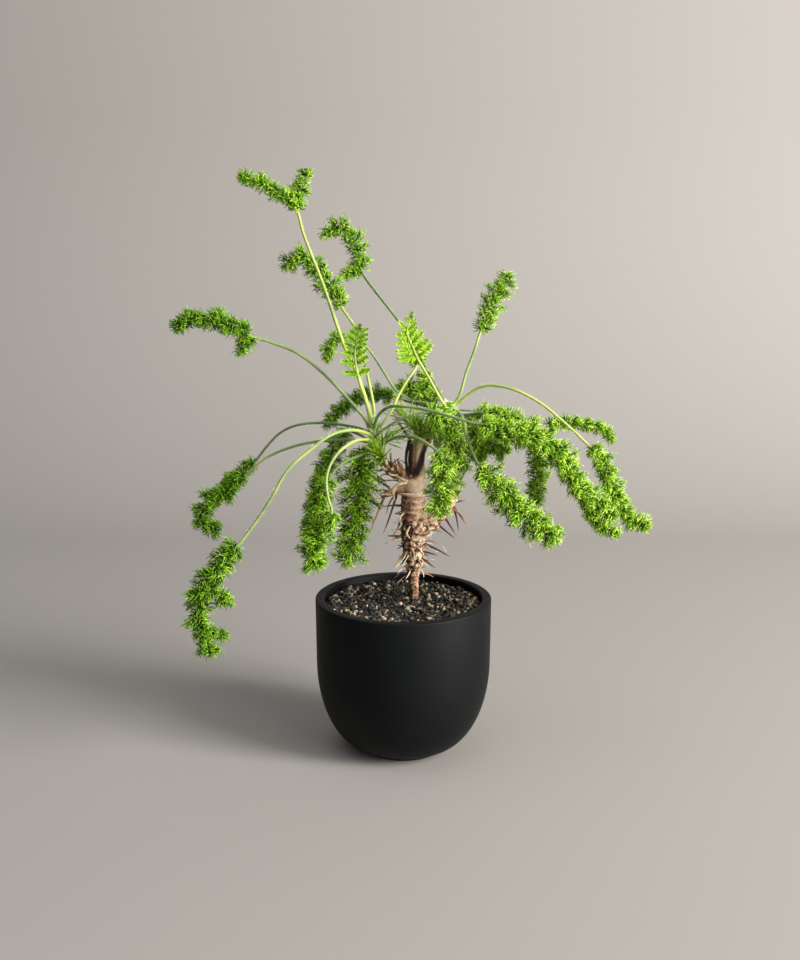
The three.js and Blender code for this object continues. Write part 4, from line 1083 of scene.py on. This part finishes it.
def whorl_into(bm, chance, root, tip, rays, length, spread):
    """Fine straight threads that fan out of a short stalk, each with a few side threads."""
    root, tip = Vector(root), Vector(tip)
    along = (tip - root).normalized()
    for ray in range(rays):
        part = (ray + 0.5) / rays
        around = across(along, ray * GOLDEN_ANGLE)
        lean = math.radians(RAY_LEAN + (spread - RAY_LEAN) * part + chance.uniform(-6, 6))
        direction = along * math.cos(lean) + around * math.sin(lean)
        foot = root.lerp(tip, 1 - 0.6 * part)
        size = length * chance.uniform(0.75, 1.0)
        way = frames_along([foot, foot + direction * size * 0.5, foot + direction * size - Z * 0.4], along)
        single = toned_bmesh()
        pull(single, way, RAY_RADII, 3)
        shade = chance.uniform(0.2, 0.6)
        set_tones(single, lambda place: shade + 0.45 * (place - foot).length / size)
        pour_into(bm, mesh_of(single, "ray"))
        for side in range(SIDE_THREADS):
            place = foot + direction * size * (0.3 + 0.11 * side)
            turn = direction.cross(along).normalized() * (1 if side % 2 else -1)
            reach = 3.4 - 0.2 * side
            grow_thread(bm, chance, place, direction * 0.9 + turn, direction, reach, shade - 0.1, 0.6)
    stem = toned_bmesh()
    points = [root.lerp(tip, step / 4) for step in range(5)]
    pull(stem, frames_along(points, FRONT), WHORL_STALK, STALK_SIDES, pointed=True)
    set_tones(stem, lambda place: STALK_TONE)
    pour_into(bm, mesh_of(stem, "tuft_stalk", 1))


def make_tuft(name, whorls):
    """Young leaves that are still close whorls."""
    chance = random.Random(name)
    bm = toned_bmesh()
    for whorl in whorls:
        whorl_into(bm, chance, *whorl)
    return make_piece(bm, f"young_{name}", [LEAF_GREEN, STALK_GREEN, HAIR_WHITE], [name])


# Wood

def limb_into(bm, points, sides, step_length):
    """A limb of wood as a closed tube whose radius follows its way points."""
    line = Line([point[:3] for point in points])
    marks = [line.way(index) for index in range(len(points))]

    def radius_at(distance):
        """The radius between the way points on both sides of a place."""
        after = min(max(bisect_left(marks, distance), 1), len(marks) - 1)
        share = (distance - marks[after - 1]) / (marks[after] - marks[after - 1])
        return points[after - 1][3] + (points[after][3] - points[after - 1][3]) * share

    steps = math.ceil(line.length / step_length)
    distances = [line.length * step / steps for step in range(steps + 1)]
    frames = frames_along([line.at(distance) for distance in distances], FRONT)
    pull(bm, frames, [radius_at(distance) for distance in distances], sides)
    return line, radius_at


def welded(bm, name, voxel):
    """Grows a bmesh of closed tubes together into one skin, with cells of voxel millimetres."""
    rough = object_of(name, mesh_of(bm, name))
    weld = rough.modifiers.new("weld", "REMESH")
    weld.mode = "VOXEL"
    weld.voxel_size = voxel
    weld.use_smooth_shade = True
    return applied(rough)


def ridge(value, centre, width):
    """1 at a centre, falling smoothly to 0 at a width from it."""
    away = abs(value - centre) / width
    return max(0.0, 1 - away * away)


def held(value):
    """A value held between 0 and 1."""
    return min(max(value, 0.0), 1.0)


def stump_paint(place):
    """On the broken top of the trunk: how much is painted, how light it is, with painted light on its right,
    and how far it stands out.
    """
    x, y, z = place
    shown = held((4.8 - y) / 2.5) * held((z - STUMP_START) / 4)
    if not shown:
        return 0.0, 0.0, 0.0
    cleft = 6.6 + 0.43 * (z - 169)
    prong = ridge(x, 3.4, 2.4)
    dark = ridge(x, cleft + 0.6, 3.0)
    bare = ridge(x, 8.0 + 0.24 * (z - 174), max(0.1, min(2.4, 0.7 + 0.14 * (z - 172))))
    # The bare strip is lighter: partly the paler bare wood, partly a painted highlight where the light falls
    # on it.
    light = 0.5 + 0.07 * math.sin(x * 5) - 0.75 * max(prong, dark) + 0.6 * bare * held(1.5 - dark)
    # Painted light: right of the cleft the stump gets lighter towards its right edge, the side the light
    # falls on.
    if x > cleft + 2.6:
        light = 0.4 + 0.2 * (x - cleft - 2.6)
    return shown, light, 0.6 * max(prong, dark) - 0.9 * bare


def bark_height(place):
    """How far the bark stands out at a place, and how light it is there: knobs below, rings above them, and
    painted light on the right side.
    """
    x, y, z = place
    coarse = noise.fractal(place * 0.2, 1.0, 2.1, 3)
    fine = noise.fractal(place * 0.75 + Vector((9, 2, 5)), 0.9, 2.0, 3)
    low = held((145 - z) / 7) * held((z - 104) / 6)
    cells = noise.voronoi(Vector((x, y, z * 1.1)) / 3.7 + Vector((1, 1, 1)) * 0.35 * coarse)[0]
    knob = 0.5 - cells[0] + 0.25 * fine
    bend = z + 0.1 * x + 0.7 * coarse
    rings = sum(ridge(bend, centre, 0.9) for centre in RING_HEIGHTS)
    cream = ridge(z + 0.05 * x, CREAM_RING, 0.75)
    smooth = held((z - 156.5) / 2) * held((168 - z) / 3)
    height = 0.3 * coarse + 0.2 * fine * (1 - 0.8 * smooth) + low * 1.5 * knob
    height += (1 - low) * (0.4 * rings + 0.5 * cream)
    light = 0.45 + 0.18 * coarse + 0.3 * fine * (1 - 0.7 * smooth) + low * (1.6 * knob)
    light += (1 - low) * (0.06 + 0.2 * rings + 0.45 * cream) + 0.34 * smooth
    # Painted light: the right side, which the light falls on, is lighter, and the shaded left side is darker.
    light += 0.26 * held((x - 3) / 8) - 0.2 * held((6 - x) / 6)
    collar = held((173 - z) / 4) * held((z - 158) / 3) * held((6 - x) / 4) * held((x + 10) / 4)
    light += 0.22 * collar
    if z > 145:
        light = min(light, 0.9 + 0.1 * cream)
    elif z < 105:
        light += 0.25 * fine - 0.2
    shown, shade, lift = stump_paint(place)
    height += shown * lift
    light += shown * (shade - light)
    return height, light


def make_bark():
    """The stem and its branches in one skin with bark relief."""
    bm = bmesh.new()
    limbs = [(TRUNK, 24), (LEFT_BRANCH, 20), (MIDDLE_BRANCH, 20), (SIDE_BRANCH, 20), (DEAD_TWIG, 14)]
    for points, sides in [*limbs, *((snag, 12) for snag in SNAGS)]:
        limb_into(bm, points, sides, LIMB_STEP)
    bm = welded(bm, "rough_bark", BARK_CELL)
    bark_tone_and_light = bm.verts.layers.float.new("bark_tone_and_light")
    bm.normal_update()
    for vert in bm.verts:
        height, light = bark_height(vert.co)
        if vert.co.z > SOIL_TOP - 1:
            vert.co += vert.normal * height * min(1, 0.4 + (vert.co.z - SOIL_TOP) / 30)
        vert[bark_tone_and_light] = light
    for face in bm.faces:
        face.smooth = True
    return make_piece(bm, "bark", [bark_brown()], ["stem"])


def spine_into(bm, chance, root, tip, radius, crook=0.06, shades=(0.1, 0.75)):
    """A dry spine: slim, crooked or hooked, and pointed."""
    root, tip = Vector(root), Vector(tip)
    length = (tip - root).length
    drift = Vector((chance.uniform(-1, 1), chance.uniform(-1, 1), chance.uniform(0.2, 1))) * length * crook
    points = [root.lerp(tip, part) + drift * math.sin(math.pi * part) for part in SPINE_PARTS]
    single = toned_bmesh()
    radii = [radius * share for share in SPINE_TAPER]
    pull(single, frames_along(points, SPINE_FACE), radii, 5, pointed=True)
    shade = chance.uniform(*shades)

    def tone_at(place):
        """A spine is lightest at its tip."""
        part = (place - root).length / length
        return shade + 0.3 * part * part

    set_tones(single, tone_at)
    pour_into(bm, mesh_of(single, "spine"))


def make_spines():
    """Dry leaf stalks, sticks, scales and the many small thorns that stand round the lower stem."""
    chance = random.Random(5)
    bm = toned_bmesh()
    for root, tip in DRY_STALKS:
        spine_into(bm, chance, root, tip, 0.9, 0.04, (0.1, 0.5))
    for root, tip, radius in DRY_STICKS:
        spine_into(bm, chance, root, tip, radius, 0.12, (0.0, 0.3))
    trunk = Line([point[:3] for point in TRUNK])
    low, high = THORN_HEIGHTS
    for count in range(THORN_COUNT):
        height = low + (high - low) * count / THORN_COUNT
        root = trunk.at(trunk.length * (height - TRUNK[0][2]) / (TRUNK[-1][2] - TRUNK[0][2]))
        angle = count * GOLDEN_ANGLE
        outward = Vector((math.cos(angle), math.sin(angle), chance.uniform(-0.8, 0.6))).normalized()
        reach = chance.uniform(*(THORN_REACH if count % 4 else LONG_THORN_REACH))
        width = chance.uniform(*THORN_WIDTH)
        spine_into(bm, chance, root + outward * 3, root + outward * reach, width, 0.1, (0.1, 0.7))
    for root, tip, radius in PALE_SPINES:
        spine_into(bm, chance, root, tip, radius, 0.14, (0.8, 1.0))
    branch = Line([point[:3] for point in SIDE_BRANCH])
    for count in range(BRANCH_THORNS):
        root = branch.at(branch.length * (0.25 + 0.7 * count / BRANCH_THORNS))
        angle = count * GOLDEN_ANGLE
        outward = Vector((math.cos(angle), math.sin(angle), chance.uniform(-0.6, 0.4))).normalized()
        spine_into(bm, chance, root + outward * 2, root + outward * chance.uniform(6, 10), 0.45, 0.12)
    scales_into(bm, chance)
    return make_piece(bm, "dry_spines", [dry_brown()])


def scales_into(bm, chance):
    """Curled orange brown scales all over the left branch."""
    branch = Line([point[:3] for point in LEFT_BRANCH])
    for count in range(BRANCH_SCALES):
        distance = branch.length * (0.1 + 0.88 * count / BRANCH_SCALES)
        along, around = ways_at(branch, distance, count * GOLDEN_ANGLE)
        root = branch.at(distance) + around * 3
        size = chance.uniform(4, 7)
        way = around * chance.uniform(0.4, 0.8) + along * 0.6 + Z * chance.uniform(0, 0.6)
        curl = around * chance.uniform(-0.3, 0.5) + Z * chance.uniform(-0.5, 0.6)
        points = [root, root + way * size * 0.5, root + way * size * 0.8 + curl * size * 0.3,
                  root + way * size * 0.9 + curl * size * 0.8]
        single = toned_bmesh()
        strip_into(single, points, around, chance.uniform(0.8, 1.5))
        shade = chance.uniform(0.64, 1.0)
        set_tones(single, lambda place: shade)
        pour_into(bm, mesh_of(single, "scale"))


def strip_into(bm, points, up, half, thickness=0.4):
    """A thin curled strip of bark along a path."""
    single = bmesh.new()
    line = Line(points)
    frames = frames_along([line.at(line.length * step / STRIP_STEPS) for step in range(STRIP_STEPS + 1)], up)
    parts = [0.12 + 0.8 * step / STRIP_STEPS for step in range(STRIP_STEPS + 1)]
    radii = [max(0.15, half * math.sin(math.pi * part)) for part in parts]
    pull(single, frames, radii, STRIP_SIDES)
    flatten_rings(single, frames, STRIP_SIDES, thickness / max(radii))
    pour_into(bm, mesh_of(single, "strip"))


def make_peel():
    """Strips and flakes of papery bark that have come away from the stem."""
    bm = bmesh.new()
    for points, half in PEELS:
        strip_into(bm, points, FRONT, half)
    return make_piece(bm, "peeling_bark", [peel_cream()])


def stipule_into(bm, chance, root, along, around, size):
    """A pointed stipule that lies against the shoot and turns out at its tip."""
    single = toned_bmesh()
    spots = [root, root + around * 0.7 + along * size * 0.3, root + around * 1.3 + along * size * 0.65,
             root + around * 2.6 + along * size]
    frames = frames_along(spots, around)
    pull(single, frames, STIPULE_RADII, STIPULE_SIDES, pointed=True)
    flatten_rings(single, frames, STIPULE_SIDES, STIPULE_FLATNESS)
    shade = chance.uniform(0.15, 0.6)
    set_tones(single, lambda place: shade + 0.35 * (place - root).length / size)
    pour_into(bm, mesh_of(single, "stipule"))


def make_shoot(name, points):
    """A growing tip: a green body wrapped in stipules, with white hair that is thickest at its end."""
    chance = random.Random(name)
    bm = toned_bmesh()
    body = toned_bmesh()
    slim = [(*point[:3], point[3] * SHOOT_SLIMNESS) for point in points]
    line, radius_at = limb_into(body, slim, 20, 1)
    set_tones(body, lambda place: SHOOT_TONE)
    pour_into(bm, mesh_of(body, "shoot_body"))
    count = round(line.length * STIPULES_PER_MM)
    for step in range(count):
        distance = line.length * (0.02 + 0.9 * step / count)
        along, around = ways_at(line, distance, step * GOLDEN_ANGLE)
        root = line.at(distance) + around * radius_at(distance) * 0.8
        size = chance.uniform(4, 6) * (1 - 0.4 * distance / line.length)
        stipule_into(bm, chance, root, along, around, size)
    grow_hairs(bm, chance, line, 0, line.length, radius_at, *SHOOT_HAIRS)
    grow_hairs(bm, chance, line, line.length - SHOOT_END, line.length, radius_at, *SHOOT_END_HAIRS)
    return make_piece(bm, name.replace("shoot_", "growing_tip_"),
                      [SHOOT_GREEN, STALK_GREEN, HAIR_WHITE], [name])


# Soil and pot

def grain_mesh(kind):
    """An angular grain about 1 in radius: the hull of scattered points."""
    chance = random.Random(kind)
    bm = toned_bmesh()
    shape = (1, chance.uniform(0.75, 1), chance.uniform(0.6, 0.9))
    for _ in range(GRAIN_POINTS):
        way = Vector((chance.gauss(0, 1), chance.gauss(0, 1), chance.gauss(0, 1))).normalized()
        bm.verts.new([value * size * chance.uniform(0.86, 1) for value, size in zip(way, shape)])
    hull = bmesh.ops.convex_hull(bm, input=bm.verts)
    loose = [item for item in hull["geom_interior"] if isinstance(item, bmesh.types.BMVert)]
    bmesh.ops.delete(bm, geom=loose, context="VERTS")
    bmesh.ops.recalc_face_normals(bm, faces=bm.faces)
    for face in bm.faces:
        face.smooth = True
    return mesh_of(bm, f"grain_{kind}")


def make_grit():
    """Loose grains over the whole top of the soil, clear of the stem and the wall."""
    chance = random.Random(12)
    kinds = [grain_mesh(kind) for kind in range(GRAIN_KINDS)]
    bm = toned_bmesh()
    for count in range(GRAIN_COUNT):
        radius = GRAIN_SPREAD * math.sqrt((count + 0.5) / GRAIN_COUNT)
        angle = count * GOLDEN_ANGLE
        place = Vector((radius * math.cos(angle), radius * math.sin(angle), 0))
        place += Vector((chance.uniform(-1, 1), chance.uniform(-1, 1), 0))
        size = chance.uniform(*GRAIN_SIZE)
        if place.length + size > GRAIN_SPREAD:
            place = place.normalized() * (GRAIN_SPREAD - size)
        if (place - STEM_FOOT).length < STEM_ROOM + size * 0.6:
            continue
        place.z = SOIL_TOP + chance.uniform(-0.3, 1.5)
        grain = chance.choice(kinds)
        shade = chance.random() ** 2.3 * 0.95
        if count % PALE_GRAIN_EVERY == 7:
            shade = chance.choice(PALE_GRAIN_TONES)
        turn = Matrix.Rotation(chance.uniform(0, 6.28), 4, "Z")
        turn = turn @ Matrix.Rotation(chance.uniform(-0.8, 0.8), 4, "X")
        copy_into(bm, grain, Matrix.Translation(place) @ turn @ Matrix.Scale(size, 4), shade, 0.0)
    return make_piece(bm, "grit", [grain_colours()])


def wall_arc(inset, low, steps):
    """The quarter arc of the wall, from the straight part down to the bottom."""
    arc = []
    for step in range(steps + 1):
        angle = math.pi / 2 * step / steps
        wide = ROUND_RADIUS - ROUND_CENTRE
        radius = ROUND_CENTRE - inset * 0.5 + (wide - inset * 0.5) * math.cos(angle)
        arc.append((radius, ROUND_TOP - (ROUND_TOP - low) * math.sin(angle)))
    return arc


def bored(bm):
    """Bores the drain holes through the bottom of the pot."""
    drills = bmesh.new()
    for hole in range(DRAIN_HOLES):
        angle = 2 * math.pi * hole / DRAIN_HOLES
        spot = Matrix.Translation((DRAIN_CIRCLE * math.cos(angle), DRAIN_CIRCLE * math.sin(angle), 0))
        bmesh.ops.create_cone(drills, cap_ends=True, segments=DRAIN_SIDES, radius1=DRAIN_RADIUS,
                              radius2=DRAIN_RADIUS, depth=FLOOR * 3, matrix=spot)
    blank = object_of("blank", mesh_of(bm, "blank"))
    tool = object_of("drill", mesh_of(drills, "drill"))
    bore = blank.modifiers.new("bore", "BOOLEAN")
    bore.operation = "DIFFERENCE"
    bore.object = tool
    bore.solver = "EXACT"
    return applied(blank, tool)


def make_pot():
    """The pot: its section turned round the axis, with three drain holes bored in the bottom."""
    inner = RIM_RADIUS - WALL
    outside = [point for point in reversed(wall_arc(0, FOOT_HEIGHT, 24)) if point[0] > FOOT_RADIUS + 1]
    lip = []
    for step in range(5):
        angle = math.pi / 2 * step / 4
        lip.append((RIM_EDGE * math.sin(angle), RIM_EDGE * math.cos(angle)))
    section = [(0, 0), (FOOT_RADIUS - 0.4, 0), (FOOT_RADIUS, 0.4), (FOOT_RADIUS + 0.5, FOOT_HEIGHT), *outside]
    section += [(RIM_RADIUS - RIM_EDGE + a, POT_HEIGHT - RIM_EDGE + b) for a, b in reversed(lip)]
    section += [(inner + RIM_EDGE - a, POT_HEIGHT - RIM_EDGE + b) for a, b in lip]
    section += wall_arc(WALL, FLOOR, 16) + [(0, FLOOR)]
    bm = bmesh.new()
    verts = [bm.verts.new((x, 0, z)) for x, z in section]
    edges = [bm.edges.new(pair) for pair in zip(verts, verts[1:])]
    bmesh.ops.spin(bm, geom=verts + edges, axis=(0, 0, 1), cent=(0, 0, 0), angle=2 * math.pi, steps=POT_SIDES,
                   use_merge=True)
    bmesh.ops.remove_doubles(bm, verts=bm.verts, dist=0.001)
    bmesh.ops.recalc_face_normals(bm, faces=bm.faces)
    bm = bored(bm)
    for face in bm.faces:
        face.smooth = face.calc_center_median().length > DRAIN_CIRCLE + DRAIN_RADIUS + 1
    return make_piece(bm, "black_pot", [pot_black()], ["pot"])


# Stage, light and camera

def make_stage():
    """A plain pale floor that turns up into a backdrop behind."""
    bm = bmesh.new()
    made = bmesh.ops.create_grid(bm, x_segments=1, y_segments=1, size=1)
    front = [vert for vert in made["verts"] if vert.co.y < 0]
    back = [vert for vert in made["verts"] if vert.co.y > 0]
    bmesh.ops.scale(bm, vec=(STAGE_HALF, 1, 1), verts=made["verts"])
    bmesh.ops.translate(bm, vec=(0, 1 - STAGE_HALF, 0), verts=front)
    bmesh.ops.translate(bm, vec=(0, STAGE_BACK - 1, 0), verts=back)
    edge = next(edge for edge in bm.edges if all(vert in back for vert in edge.verts))
    bmesh.ops.spin(bm, geom=[edge], axis=(1, 0, 0), cent=(0, STAGE_BACK, STAGE_ROUND), angle=math.pi / 2,
                   steps=24)
    top = max(bm.edges, key=lambda one: sum(vert.co.z for vert in one.verts))
    wall = bmesh.ops.extrude_edge_only(bm, edges=[top])["geom"]
    raised = [item for item in wall if isinstance(item, bmesh.types.BMVert)]
    bmesh.ops.translate(bm, vec=(0, 0, STAGE_HALF), verts=raised)
    bmesh.ops.recalc_face_normals(bm, faces=bm.faces)
    for face in bm.faces:
        face.smooth = True
    mesh = mesh_of(bm, "floor")
    mesh.materials.append(plain_stage("floor_pale", STAGE_COLOUR))
    floor = object_of("floor", mesh)


def add_light(name, place, target, size, power, colour):
    """A flat light at a place, turned towards a target."""
    light = bpy.data.lights.new(name, "AREA")
    light.shape = "RECTANGLE"
    light.size, light.size_y = size
    light.energy = power
    light.color = colour
    lamp = object_of(name, light)
    lamp.location = place
    lamp.rotation_mode = "QUATERNION"
    lamp.rotation_quaternion = (Vector(target) - Vector(place)).to_track_quat("-Z", "Y")


def light_and_camera():
    """The lights, the faint light from all round and the camera."""
    for light in LIGHTS:
        add_light(*light)
    world = bpy.data.worlds.new("studio")
    world.use_nodes = True
    world.node_tree.nodes["Background"].inputs["Color"].default_value = WORLD_COLOUR
    world.node_tree.nodes["Background"].inputs["Strength"].default_value = WORLD_STRENGTH
    bpy.context.scene.world = world
    bpy.context.scene.view_settings.view_transform = "Standard"
    camera = bpy.data.cameras.new("camera")
    camera.lens = CAMERA_LENS
    camera.sensor_width = SENSOR
    holder = object_of("camera", camera)
    holder.location = CAMERA_PLACE
    holder.rotation_euler = (math.radians(90 - CAMERA_DIP), 0, 0)
    bpy.context.scene.camera = holder


light_and_camera()
make_stage()
SHOOT_GREEN = shoot_green()
make_pot()
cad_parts["soil"].data.materials.clear()
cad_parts["soil"].data.materials.append(soil_dark())
make_grit()
make_bark()
make_spines()
make_peel()
for shoot_name, shoot_points in SHOOTS.items():
    make_shoot(shoot_name, shoot_points)
for leaf_name, leaf_data in LEAVES.items():
    make_leaf(leaf_name, leaf_data)
for tuft_name, tuft_whorls in TUFTS.items():
    make_tuft(tuft_name, tuft_whorls)
